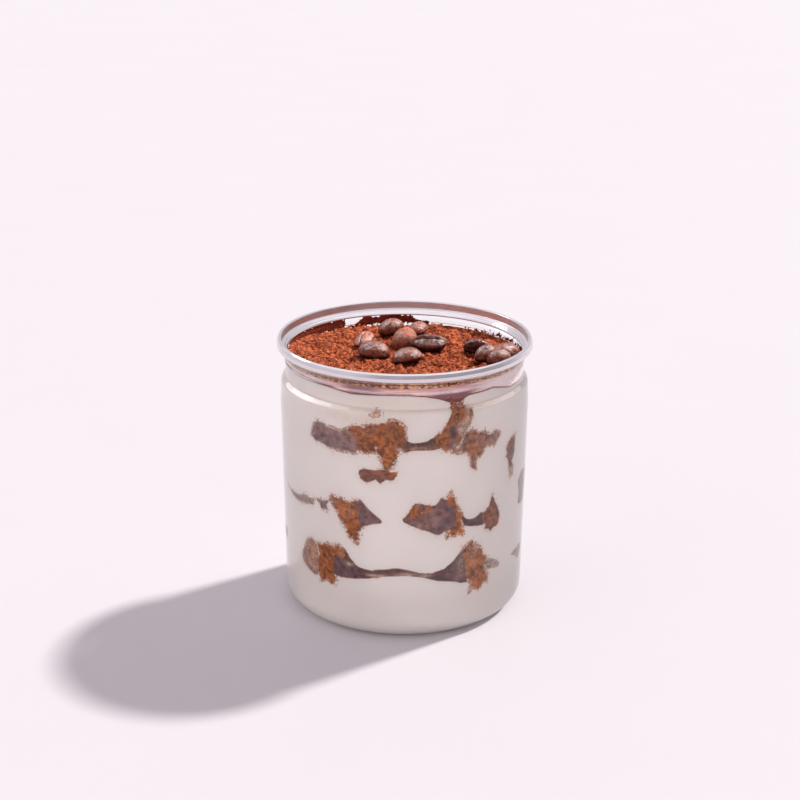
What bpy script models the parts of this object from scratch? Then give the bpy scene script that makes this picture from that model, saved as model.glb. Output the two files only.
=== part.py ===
"""A tiramisu cup: cream and soaked sponge in a clear can-shaped jar, with a metal seam ring,
cocoa powder and coffee beans on top. Metres, +Z up, the origin at the middle of the base.
Angles go round the jar in degrees, 0 at the front (-Y) and growing towards +X."""

import bmesh
import bpy
import math
import random
from mathutils import Euler, Matrix, Vector

MM = 0.001
GAP = 0.3 * MM
SEGMENTS = 48
FLAT_ANGLE = math.radians(1.0)
SHARP_ANGLE = math.radians(35.0)
SAME_POINT = 0.02 * MM
SAME_LEVEL = 0.01 * MM

# Jar: outer skin
WALL = 0.7 * MM
PUNT_R = 25.0 * MM
PUNT_EDGE_R = 28.0 * MM
PUNT_RISE = 1.2 * MM
BASE_R = 41.5 * MM
CORNER_R = 8.5 * MM
CORNER_STEPS = 3
BODY_R = 42.6 * MM
BODY_TOP = 72.0 * MM
SHOULDER_R = 42.1 * MM
SHOULDER_Z = 79.0 * MM
NECK_R = 40.8 * MM
GROOVE_Z = 82.4 * MM
FLARE_Z = 88.9 * MM
FLARE_R = 42.85 * MM
FLARE_EDGE, FLARE_INSET, MOUTH_INSET = 0.5 * MM, 0.25 * MM, 0.2 * MM
JAR_TOP = 91.6 * MM

# Seam ring: the rolled rim, its inner wall and the lip left where the lid was torn out
RING_R = 43.65 * MM
CREST_R = 42.95 * MM
CREST_Z = 94.84 * MM
SEAM_FOOT_Z = JAR_TOP + 0.35 * MM
LIP_R = 39.9 * MM
RING_OUTLINE = [
    (FLARE_R + 0.35 * MM, SEAM_FOOT_Z), (RING_R, SEAM_FOOT_Z + 0.45 * MM),
    (RING_R, CREST_Z - 0.9 * MM), (RING_R - 0.25 * MM, CREST_Z - 0.3 * MM), (CREST_R, CREST_Z),
    (CREST_R - 0.5 * MM, CREST_Z - 0.25 * MM), (CREST_R - 0.75 * MM, CREST_Z - 0.85 * MM),
    (LIP_R + 1.75 * MM, 92.15 * MM), (LIP_R + 0.75 * MM, 91.3 * MM), (LIP_R + 0.1 * MM, 90.75 * MM),
    (LIP_R, 90.3 * MM), (LIP_R + 0.3 * MM, 90.05 * MM), (LIP_R + 0.65 * MM, 90.75 * MM),
    (LIP_R + 1.8 * MM, SEAM_FOOT_Z),
]

# Filling: the cream's top, the powder's top and its soft lumps (waves a metre), the dip at the wall
CREAM_LEVEL = 86.0 * MM
CREAM_SLOPE = -0.018
COCOA_LEVEL = 88.8 * MM
COCOA_SLOPE = -0.035
COCOA_BUMP = 0.33 * MM
COCOA_RINGS = 7
WAVE_X, WAVE_Y, WAVE_START_X, WAVE_START_Y = 290.0, 240.0, 1.1, -0.4
CROSS_X, CROSS_Y, CROSS_SHARE = 520.0, 460.0, 0.6
SAG_START, SAG_END = 14.0, 66.0
SAG_DEPTH, SAG_WIDTH = 2.3 * MM, 2.5 * MM
SAG_SHAPE = 0.7

# Sponge layers: where each meets the wall, as runs of (angle, lowest mm, highest mm)
SPONGES = {
    "sponge_bottom": {
        "middle": 25.0 * MM,
        "half": 4.6 * MM,
        "seed": 3,
        "hidden_from": 96.0,
        "runs": [
            [(-56.5, 21.5, 24.0), (-52.0, 19.6, 30.6), (-46.0, 18.2, 31.0), (-42.0, 17.2, 31.6),
             (-35.0, 17.6, 32.3), (-30.0, 20.8, 31.6), (-24.5, 21.4, 27.9), (-20.3, 22.2, 25.9),
             (-12.0, 23.0, 25.6), (-3.5, 23.8, 26.8), (8.7, 23.2, 25.0), (18.0, 21.6, 25.2),
             (23.7, 20.4, 28.1), (28.2, 19.4, 31.4), (33.0, 14.9, 33.9), (38.0, 15.4, 30.8),
             (42.5, 17.2, 26.6), (50.5, 21.8, 24.0)],
            [(63.0, 21.6, 22.8), (72.0, 18.4, 22.6), (77.0, 19.4, 22.6)],
        ],
    },
    "sponge_middle": {
        "middle": 43.8 * MM,
        "half": 4.8 * MM,
        "seed": 8,
        "hidden_from": 92.0,
        "runs": [
            [(-71.0, 44.6, 46.0), (-58.7, 42.9, 44.8), (-52.0, 43.2, 46.6), (-43.5, 44.0, 46.8),
             (-38.0, 43.2, 47.6)],
            [(-35.0, 45.6, 48.9), (-31.6, 43.6, 49.6), (-27.0, 38.6, 49.4), (-22.5, 34.6, 50.2),
             (-19.5, 40.6, 49.2), (-10.4, 42.6, 43.8)],
            [(0.0, 43.2, 44.6), (5.1, 41.8, 49.8), (14.5, 38.8, 49.4), (21.3, 37.2, 52.9),
             (27.6, 37.4, 44.4), (32.0, 39.6, 42.0), (38.0, 38.6, 42.2), (44.3, 35.8, 49.2),
             (50.3, 37.4, 40.4)],
            [(67.4, 44.0, 48.2), (72.0, 39.4, 50.8), (83.0, 40.6, 50.4)],
        ],
    },
    "sponge_top": {
        "middle": 71.5 * MM,
        "half": 4.8 * MM,
        "seed": 5,
        "hidden_from": 94.0,
        "runs": [
            [(-46.2, 68.8, 70.6), (-42.0, 67.4, 75.0), (-34.0, 66.9, 74.4), (-23.0, 66.6, 75.8),
             (-13.0, 66.2, 76.8), (-9.0, 61.6, 77.6), (-5.4, 61.6, 78.4), (-2.0, 68.2, 78.0),
             (1.0, 68.5, 75.4), (5.0, 68.6, 71.3), (11.0, 68.4, 71.8), (15.0, 69.2, 74.0),
             (19.5, 68.0, 79.0), (22.5, 67.2, 86.3), (28.0, 67.0, 85.6), (31.0, 64.6, 81.0),
             (33.0, 60.2, 75.0), (36.0, 64.6, 73.4), (42.0, 66.2, 71.6), (48.0, 68.6, 70.0)],
            [(54.0, 59.6, 63.6), (57.5, 53.0, 66.2), (61.5, 54.0, 66.8), (64.0, 58.4, 61.0)],
        ],
    },
}
EDGE_RETREAT = 4.0 * MM
WALL_PASS = 2.0 * MM
OPEN_SHARE = 0.7
RUN_FADE = 3.5
OPEN_STEP = 18.0
INNER_R = 30.0 * MM
INNER_WAVE, INNER_WAVES = 0.7 * MM, 3
RIM_DEPTH = 3.2 * MM
RIM_ROUND = 1.5 * MM

# Hidden side: how many runs a layer shows there, and the limits of each seeded draw
HIDDEN_RUNS = 3
HIDDEN_STATIONS = 5
HIDDEN_MARGIN = 8.0
HIDDEN_START = (0.0, 0.2)
HIDDEN_WIDTH = (0.5, 0.72)
HIDDEN_TALL = (0.7, 1.3)
HIDDEN_LIFT = (-1.0, 1.5)
HIDDEN_SWELL = (0.7, 1.1)
HIDDEN_SHIFT = (-1.0, 1.0)
THINNEST_SWELL = 0.18

# Fallen lump under the top layer, an egg that leans on the wall
LUMP_ANGLE = -12.0
LUMP_Z = 59.4 * MM
LUMP_DEPTH = 1.2 * MM
LUMP_HALF = (6.4 * MM, 4.0 * MM, 2.7 * MM)
LUMP_SIDES, LUMP_STEPS = 10, 6

# Beans: place on the powder, length, width, thickness in mm, roll, pitch, yaw, sunk depth in mm
BEANS = [
    (-4.8, 22.2, 9.6, 7.0, 5.6, 6, -14, 18, 0.4),
    (4.8, 23.0, 9.0, 6.6, 5.0, -8, 0, 62, 0.7),
    (-0.2, 7.4, 10.6, 8.0, 6.6, 14, -16, 55, 0.8),
    (-14.2, 6.4, 9.2, 6.9, 4.8, 168, -15, 72, 0.8),
    (-10.4, -6.4, 11.2, 8.4, 6.4, 4, 3, -12, 1.0),
    (8.4, 2.2, 11.9, 8.0, 6.5, 184, 0, 3, 1.1),
    (0.9, -13.0, 10.6, 7.5, 5.9, -12, -8, 14, 1.1),
    (24.7, -2.2, 9.6, 6.8, 4.6, -72, 0, -8, 1.4),
    (27.5, -9.6, 9.0, 6.2, 6.0, 6, 0, 30, 0.8),
    (31.4, -15.7, 9.0, 6.3, 5.8, 0, 0, 30, 0.5),
    (34.6, -3.4, 9.4, 6.8, 5.0, 0, 8, 24, 1.0),
]
BEAN_SIDES = 12
BEAN_STEPS = 8
DOME_SHARE = 0.68
CREASE_SHARE = 0.8
BELLY_START = 0.01
BELLY_SPREAD, BELLY_FLAT = 1.6, 4


def clear_scene():
    for thing in list(bpy.data.objects):
        bpy.data.objects.remove(thing, do_unlink=True)


def material(name, colour, roughness, metallic=0.0, clear=0.0):
    made = bpy.data.materials.new(name)
    made.use_nodes = True
    shader = made.node_tree.nodes["Principled BSDF"]
    shader.inputs["Base Color"].default_value = (*colour, 1.0)
    shader.inputs["Roughness"].default_value = roughness
    shader.inputs["Metallic"].default_value = metallic
    shader.inputs["Transmission Weight"].default_value = clear
    return made


def add_object(name, bm, finish):
    bmesh.ops.recalc_face_normals(bm, faces=bm.faces)
    bmesh.ops.triangulate(bm, faces=bm.faces)
    mesh = bpy.data.meshes.new(name)
    bm.to_mesh(mesh)
    bm.free()
    mesh.shade_smooth()
    mesh.set_sharp_from_angle(angle=SHARP_ANGLE)
    thing = bpy.data.objects.new(name, mesh)
    bpy.context.scene.collection.objects.link(thing)
    if finish:
        mesh.materials.append(finish)
    return thing


def apply_boolean(thing, other, operation):
    """Cut, join or keep the common part of `thing` and `other`, then remove `other`."""
    bpy.context.view_layer.update()
    modifier = thing.modifiers.new(operation.lower(), "BOOLEAN")
    modifier.operation = operation
    modifier.solver = "EXACT"
    modifier.object = other
    bpy.context.view_layer.update()
    result = bpy.data.meshes.new_from_object(thing.evaluated_get(
        bpy.context.evaluated_depsgraph_get()))
    thing.modifiers.clear()
    old = thing.data
    thing.data = result
    bpy.data.meshes.remove(old)
    bpy.data.objects.remove(other, do_unlink=True)


def merge_flat(thing):
    """Join the flat neighbours that a cut left split, and make triangles of them again."""
    bm = bmesh.new()
    bm.from_mesh(thing.data)
    bmesh.ops.dissolve_limit(bm, angle_limit=FLAT_ANGLE, verts=bm.verts, edges=bm.edges)
    bmesh.ops.triangulate(bm, faces=bm.faces)
    bm.to_mesh(thing.data)
    bm.free()


def at_angle(degrees, radius, height):
    turn = math.radians(degrees)
    return Vector((radius * math.sin(turn), -radius * math.cos(turn), height))


def angle_of(point):
    return math.degrees(math.atan2(point.x, -point.y))


def turned(profile):
    """Spin a closed (radius, height) outline, or one that starts and ends on the axis."""
    bm = bmesh.new()
    verts = [bm.verts.new((radius, 0.0, height)) for radius, height in profile]
    edges = [bm.edges.new(pair) for pair in zip(verts, verts[1:])]
    if profile[0][0] > 0.0:
        edges.append(bm.edges.new((verts[-1], verts[0])))
    bmesh.ops.spin(bm, geom=verts + edges, cent=(0, 0, 0), axis=(0, 0, 1),
                   angle=math.tau, steps=SEGMENTS, use_merge=True)
    bmesh.ops.remove_doubles(bm, verts=bm.verts, dist=SAME_POINT)
    return bm


def jar_skin(depth):
    """The jar's outline from the middle of its floor to its flare, `depth` inside the outer skin."""
    outline = [(0.0, PUNT_RISE + depth), (PUNT_R, PUNT_RISE + depth), (PUNT_EDGE_R, depth)]
    reach = CORNER_R - depth
    for step in range(CORNER_STEPS + 1):
        turn = math.pi / 2 * step / CORNER_STEPS
        outline.append((BASE_R - CORNER_R + reach * math.sin(turn), CORNER_R - reach * math.cos(turn)))
    outline += [(BODY_R - depth, BODY_TOP), (SHOULDER_R - depth, SHOULDER_Z), (NECK_R - depth, GROOVE_Z)]
    return outline


def make_jar():
    lean = WALL * math.sqrt(0.5)
    outer = jar_skin(0.0) + [
        (NECK_R, FLARE_Z), (FLARE_R - FLARE_INSET, JAR_TOP - FLARE_EDGE), (FLARE_R, JAR_TOP)]
    inner = jar_skin(WALL) + [
        (NECK_R - WALL, FLARE_Z + lean / 2), (FLARE_R - WALL - MOUTH_INSET, JAR_TOP)]
    clear = material("clear_plastic", (0.95, 0.95, 0.96), 0.05, clear=1.0)
    return add_object("jar", turned(outer + inner[::-1]), clear)


def make_ring():
    metal = material("bare_metal", (0.78, 0.76, 0.77), 0.28, metallic=1.0)
    return add_object("rim_ring", turned(RING_OUTLINE), metal)


def cream_level(point):
    """The cream's top: a slight slope, lower beside the wall where the powder reaches down."""
    level = CREAM_LEVEL + CREAM_SLOPE * point.y
    degrees = angle_of(point)
    if not SAG_START < degrees < SAG_END:
        return level
    share = (degrees - SAG_START) / (SAG_END - SAG_START)
    near_wall = max(0.0, 1.0 - (NECK_R - WALL - GAP - math.hypot(point.x, point.y)) / SAG_WIDTH)
    return level - SAG_DEPTH * math.sin(math.pi * share) ** SAG_SHAPE * near_wall


def make_filling(name, finish):
    """Everything the cream's outer skin encloses, up to the underside of the powder."""
    skin = jar_skin(WALL + GAP)
    edge = NECK_R - WALL - GAP
    top = [(edge, CREAM_LEVEL), (edge - SAG_WIDTH, CREAM_LEVEL), (0.0, CREAM_LEVEL)]
    bm = turned(skin + top)
    for vert in bm.verts:
        if abs(vert.co.z - CREAM_LEVEL) < SAME_LEVEL:
            vert.co.z = cream_level(vert.co)
    return add_object(name, bm, finish)


def hidden_runs(layer):
    """Runs for the side the front view hides, uneven like the front ones, from a seeded draw."""
    draw = random.Random(layer["seed"])
    start = layer["hidden_from"]
    room = (360.0 + layer["runs"][0][0][0] - HIDDEN_MARGIN - start) / HIDDEN_RUNS
    middle, half = layer["middle"] / MM, layer["half"] / MM
    runs = []
    for number in range(HIDDEN_RUNS):
        first = start + room * (number + draw.uniform(*HIDDEN_START))
        width = room * draw.uniform(*HIDDEN_WIDTH)
        tall = half * draw.uniform(*HIDDEN_TALL)
        lift = draw.uniform(*HIDDEN_LIFT)
        run = []
        for step in range(HIDDEN_STATIONS):
            share = step / (HIDDEN_STATIONS - 1)
            swell = math.sin(math.pi * (0.1 + 0.8 * share)) * draw.uniform(*HIDDEN_SWELL)
            tallness = tall * max(THINNEST_SWELL, swell)
            height = middle + lift + draw.uniform(*HIDDEN_SHIFT)
            run.append((first + width * share, height - tallness, height + tallness))
        runs.append(run)
    return runs


def layer_columns(layer):
    """The layer's rim as (angle, lowest, highest, meets the wall), once round."""
    runs = sorted(layer["runs"] + hidden_runs(layer), key=lambda run: run[0][0])
    half = OPEN_SHARE * layer["half"]
    low, high = layer["middle"] - half, layer["middle"] + half
    columns = []
    for run, following in zip(runs, runs[1:] + [[(runs[0][0][0] + 360.0, 0, 0)]]):
        for angle, lowest, highest in run:
            columns.append((angle, lowest * MM, highest * MM, True))
        start, end = run[-1][0] + RUN_FADE, following[0][0] - RUN_FADE
        if end <= start:
            columns.append(((run[-1][0] + following[0][0]) / 2, low, high, False))
            continue
        steps = max(1, math.ceil((end - start) / OPEN_STEP))
        for step in range(steps + 1):
            columns.append((start + (end - start) * step / steps, low, high, False))
    return columns


def make_slab(layer, grow):
    """One sponge layer as a wavy slab, its rim passing the wall where it shows there."""
    bm = bmesh.new()
    columns = layer_columns(layer)

    def ring(place):
        return [bm.verts.new(place(*column)) for column in columns]

    def wave(angle):
        return INNER_WAVE * math.sin(math.radians(INNER_WAVES * angle) + layer["seed"])

    def inside(side):
        flat = layer["middle"] + side * (layer["half"] + grow)
        return ring(lambda angle, low, high, meets: at_angle(angle, INNER_R, flat + wave(angle)))

    def rim(side, meeting_r, open_r):
        return ring(lambda angle, low, high, meets: at_angle(
            angle, (meeting_r if meets else open_r) + (0.0 if meets else grow),
            (high if side > 0 else low) + side * grow))

    near = BODY_R - RIM_DEPTH, BODY_R - EDGE_RETREAT - RIM_ROUND
    far = BODY_R + WALL_PASS, BODY_R - EDGE_RETREAT
    rings = [inside(-1), rim(-1, *near), rim(-1, *far), rim(1, *far), rim(1, *near), inside(1)]
    for lower, upper in zip(rings, rings[1:]):
        for number in range(len(columns)):
            following = (number + 1) % len(columns)
            bm.faces.new((lower[number], lower[following], upper[following], upper[number]))
    for side, last in ((-1, rings[0]), (1, rings[-1])):
        pole = bm.verts.new((0.0, 0.0, layer["middle"] + side * (layer["half"] + grow)))
        for number in range(len(columns)):
            bm.faces.new((last[number], last[(number + 1) % len(columns)], pole))
    return bm


def make_lump(grow):
    bm = bmesh.new()
    bmesh.ops.create_uvsphere(bm, u_segments=LUMP_SIDES, v_segments=LUMP_STEPS, radius=1.0)
    bmesh.ops.scale(bm, vec=[half + grow for half in LUMP_HALF], verts=bm.verts)
    bmesh.ops.rotate(bm, matrix=Matrix.Rotation(math.radians(LUMP_ANGLE), 3, "Z"), verts=bm.verts)
    bmesh.ops.translate(bm, vec=at_angle(LUMP_ANGLE, BODY_R - LUMP_DEPTH, LUMP_Z), verts=bm.verts)
    return bm


def make_layer(name, grow, finish):
    thing = add_object(name, make_slab(SPONGES[name], grow), finish)
    if name == "sponge_top":
        apply_boolean(thing, add_object("lump", make_lump(grow), None), "UNION")
    return thing


def make_food():
    cream_finish = material("cream", (0.86, 0.80, 0.76), 0.45)
    sponge_finish = material("soaked_sponge", (0.34, 0.15, 0.08), 0.8)
    cream = make_filling("cream", cream_finish)
    for name in SPONGES:
        sponge = make_layer(name, 0.0, sponge_finish)
        apply_boolean(sponge, make_filling("envelope", None), "INTERSECT")
        apply_boolean(cream, make_layer(name, GAP, None), "DIFFERENCE")
        merge_flat(sponge)
    merge_flat(cream)


def powder_level(x, y):
    """The powder's uneven top: a slight slope with soft lumps."""
    lumps = math.sin(WAVE_X * x + WAVE_START_X) * math.cos(WAVE_Y * y + WAVE_START_Y)
    lumps += CROSS_SHARE * math.sin(CROSS_X * x + CROSS_Y * y)
    return COCOA_LEVEL + COCOA_SLOPE * y + COCOA_BUMP * lumps


def bean_body(length, width, thick, grow):
    """A bean lying on its flat side, long along X, with the crease under it."""
    bm = bmesh.new()
    bmesh.ops.create_uvsphere(bm, u_segments=BEAN_SIDES, v_segments=BEAN_STEPS, radius=1.0)
    bmesh.ops.rotate(bm, matrix=Matrix.Rotation(math.pi / 2, 3, "Y"), verts=bm.verts)
    for vert in bm.verts:
        x, y, z = vert.co
        if z < -BELLY_START:
            girth = math.hypot(y, z)
            share = math.atan2(abs(y), -z) / (math.pi / 2)
            y = math.copysign(girth * share ** BELLY_SPREAD, y)
            z = -girth * (1.0 - share ** BELLY_FLAT)
            if share < BELLY_START:
                z += CREASE_SHARE * girth
        height = z * (thick * (DOME_SHARE if z > 0 else 1.0 - DOME_SHARE) + grow)
        vert.co = (x * (length / 2 + grow), y * (width / 2 + grow), height)
    return bm


def place_bean(bm, bean):
    x, y, *_, roll, pitch, yaw, sunk = bean
    turn = Euler([math.radians(angle) for angle in (roll, pitch, yaw)]).to_matrix()
    bmesh.ops.rotate(bm, matrix=turn, verts=bm.verts)
    lowest = min(vert.co.z for vert in bm.verts)
    height = powder_level(x * MM, y * MM) - sunk * MM - lowest
    bmesh.ops.translate(bm, vec=(x * MM, y * MM, height), verts=bm.verts)


def make_beans():
    finish = material("roasted_bean", (0.10, 0.045, 0.03), 0.4)
    pockets = []
    for number, bean in enumerate(BEANS, 1):
        length, width, thick = (size * MM for size in bean[2:5])
        body = bean_body(length, width, thick, 0.0)
        place_bean(body, bean)
        add_object(f"bean_{number:02d}", body, finish)
        pocket = bean_body(length, width, thick, GAP)
        place_bean(pocket, (*bean[:8], bean[8] + GAP / MM))
        pockets.append(add_object(f"pocket_{number:02d}", pocket, None))
    return pockets


def make_cocoa(pockets):
    """The powder layer on the cream, with a hollow under each bean."""
    edge = NECK_R - WALL - GAP
    foot = [(0.0, CREAM_LEVEL), (edge - SAG_WIDTH, CREAM_LEVEL), (edge, CREAM_LEVEL)]
    top = [(edge * (1.0 - step / COCOA_RINGS), COCOA_LEVEL) for step in range(COCOA_RINGS + 1)]
    bm = turned(foot + top)
    for vert in bm.verts:
        if abs(vert.co.z - CREAM_LEVEL) < SAME_LEVEL:
            vert.co.z = cream_level(vert.co) + GAP
        else:
            vert.co.z = powder_level(vert.co.x, vert.co.y)
    cocoa = add_object("cocoa", bm, material("cocoa", (0.35, 0.10, 0.035), 0.95))
    for pocket in pockets:
        apply_boolean(cocoa, pocket, "DIFFERENCE")
    merge_flat(cocoa)


def main():
    clear_scene()
    make_jar()
    make_ring()
    make_food()
    make_cocoa(make_beans())


main()
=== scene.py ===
import math
import random

import bmesh
import bpy
import numpy as np
from bpy.props import FloatProperty, FloatVectorProperty, IntProperty, PointerProperty
from mathutils import Euler, Matrix, Vector, noise


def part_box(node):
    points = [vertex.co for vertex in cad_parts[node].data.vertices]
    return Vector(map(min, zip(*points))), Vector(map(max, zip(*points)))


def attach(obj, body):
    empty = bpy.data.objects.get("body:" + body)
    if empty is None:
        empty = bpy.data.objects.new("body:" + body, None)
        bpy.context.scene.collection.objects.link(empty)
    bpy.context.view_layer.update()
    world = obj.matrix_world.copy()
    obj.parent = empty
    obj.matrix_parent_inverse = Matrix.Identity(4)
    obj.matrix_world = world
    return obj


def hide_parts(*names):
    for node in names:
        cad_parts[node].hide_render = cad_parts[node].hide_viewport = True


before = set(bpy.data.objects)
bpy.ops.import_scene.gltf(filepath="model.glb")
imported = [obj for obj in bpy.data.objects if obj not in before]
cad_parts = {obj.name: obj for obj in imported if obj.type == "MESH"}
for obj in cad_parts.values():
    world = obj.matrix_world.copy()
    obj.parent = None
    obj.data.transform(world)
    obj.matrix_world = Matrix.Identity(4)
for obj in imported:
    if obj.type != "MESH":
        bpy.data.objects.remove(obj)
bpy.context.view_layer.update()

# A tiramisu in a clear can-shaped jar: cream and soaked sponge up to a metal seam ring, cocoa powder
# and coffee beans on top. Metres, +Z up. Angles go round the jar in degrees, 0 at the front (-Y) and
# growing towards +X, and a place on the wall is (angle, height in mm).

bl_info = {
    "name": "Tiramisu Cup",
    "version": (1, 0, 0),
    "blender": (4, 5, 0),
    "location": "View3D > Sidebar > Tiramisu",
    "description": "Builds a layered tiramisu in a clear jar, with cocoa and coffee beans on top",
    "category": "Add Mesh",
}

MM = 0.001
SAME_POINT = 0.004 * MM
BODY = "root"

# The slots that each light falls on
LIT_SLOTS = {
    "lamp": ("cocoa", "roasted_bean"),
    "fill": ("cream", "soaked_sponge", "cocoa"),
    "ground": (),
    "shine": ("bare_metal", "roasted_bean"),
    "spark": ("roasted_bean",),
    "glint": ("clear_plastic",),
}

# Jar
PUNT_R, PUNT_EDGE_R, PUNT_RISE = 25.0 * MM, 28.0 * MM, 1.2 * MM
BASE_R, CORNER_R = 41.5 * MM, 8.5 * MM
BODY_R, BODY_TOP = 42.6 * MM, 72.0 * MM
SHOULDER_R, SHOULDER_Z = 42.3 * MM, 80.3 * MM
NECK_R, GROOVE_Z = 40.8 * MM, 81.8 * MM
RIDGE_Z, RIDGE_RISE = 87.4 * MM, 0.22 * MM
FLARE_Z, FLARE_R, JAR_TOP = 88.9 * MM, 42.85 * MM, 91.6 * MM
JAR_SIDES = 256

# How far each filling reaches into the jar's wall, so that it shows with no air before it
CREAM_REACH = 0.05 * MM
SPONGE_REACH = 0.15 * MM
POWDER_REACH = 0.08 * MM

# Seam ring: (radius, height, rounding) from the outer foot over the crest to the torn lip and back
RING_R, CREST_Z, SEAM_FOOT_Z, LIP_R = 43.65 * MM, 94.84 * MM, 91.95 * MM, 39.9 * MM
RING_OUTLINE = [
    (43.1 * MM, SEAM_FOOT_Z, 0.1 * MM), (RING_R, SEAM_FOOT_Z + 0.2 * MM, 0.3 * MM), (RING_R, 93.35 * MM, 0.45 * MM),
    (43.25 * MM, 94.45 * MM, 0.5 * MM), (42.95 * MM, 94.8 * MM, 0.2 * MM), (42.5 * MM, CREST_Z, 0.15 * MM),
    (42.15 * MM, 94.72 * MM, 0.15 * MM), (42.05 * MM, 94.4 * MM, 0.2 * MM), (42.0 * MM, 92.25 * MM, 0.12 * MM),
    (41.75 * MM, 92.1 * MM, 0.1 * MM), (40.9 * MM, 91.65 * MM, 0.1 * MM), (40.75 * MM, 91.4 * MM, 0.1 * MM),
    (40.25 * MM, 91.05 * MM, 0.15 * MM), (LIP_R, 90.5 * MM, 0.25 * MM), (40.1 * MM, 90.05 * MM, 0.15 * MM),
    (40.35 * MM, 90.4 * MM, 0.1 * MM), (40.6 * MM, 90.9 * MM, 0.2 * MM), (41.7 * MM, 91.7 * MM, 0.2 * MM),
]

# Filling levels: the edge of the cream under the powder on the wall, in mm
CREAM_LEVEL, CREAM_SLOPE = 86.0 * MM, -0.018
CREAM_EDGE = [
    (-150, 84.6), (-110, 85.3), (-85, 86.6), (-64, 87.4), (-52, 87.4), (-41, 87.2), (-36, 87.0), (-31, 86.6),
    (-25, 86.2), (-15, 86.6), (-6, 86.9), (2, 86.9), (10, 86.3), (16, 85.3), (20.5, 84.0), (23.5, 82.9),
    (26, 82.9), (28, 84.2), (31, 85.3), (37, 85.4), (46, 85.7), (52, 84.6), (59, 83.4), (72, 83.1),
    (84, 84.2), (105, 84.9), (130, 85.6), (165, 85.0),
]
EDGE_FADE = 3.5 * MM

# Warm, darker tints in the cream by the shoulder, the groove, the neck and the bottom, partly coffee
# stains and partly painted shade: (angle, height, half width in degrees, half height, strength)
CREAM_STAINS = [
    (-24, 78.8, 24, 2.6, 0.6), (40, 80.9, 9, 0.6, 0.8), (30, 80.6, 5, 1.2, 0.5), (-15, 13, 60, 5, 0.12),
    (-8, 84.2, 28, 1.9, 0.36), (62, 80.6, 14, 0.7, 0.18),
]
POWDER_LEVEL, POWDER_SLOPE, POWDER_BUMP = 88.8 * MM, -0.035, 0.33 * MM
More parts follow.
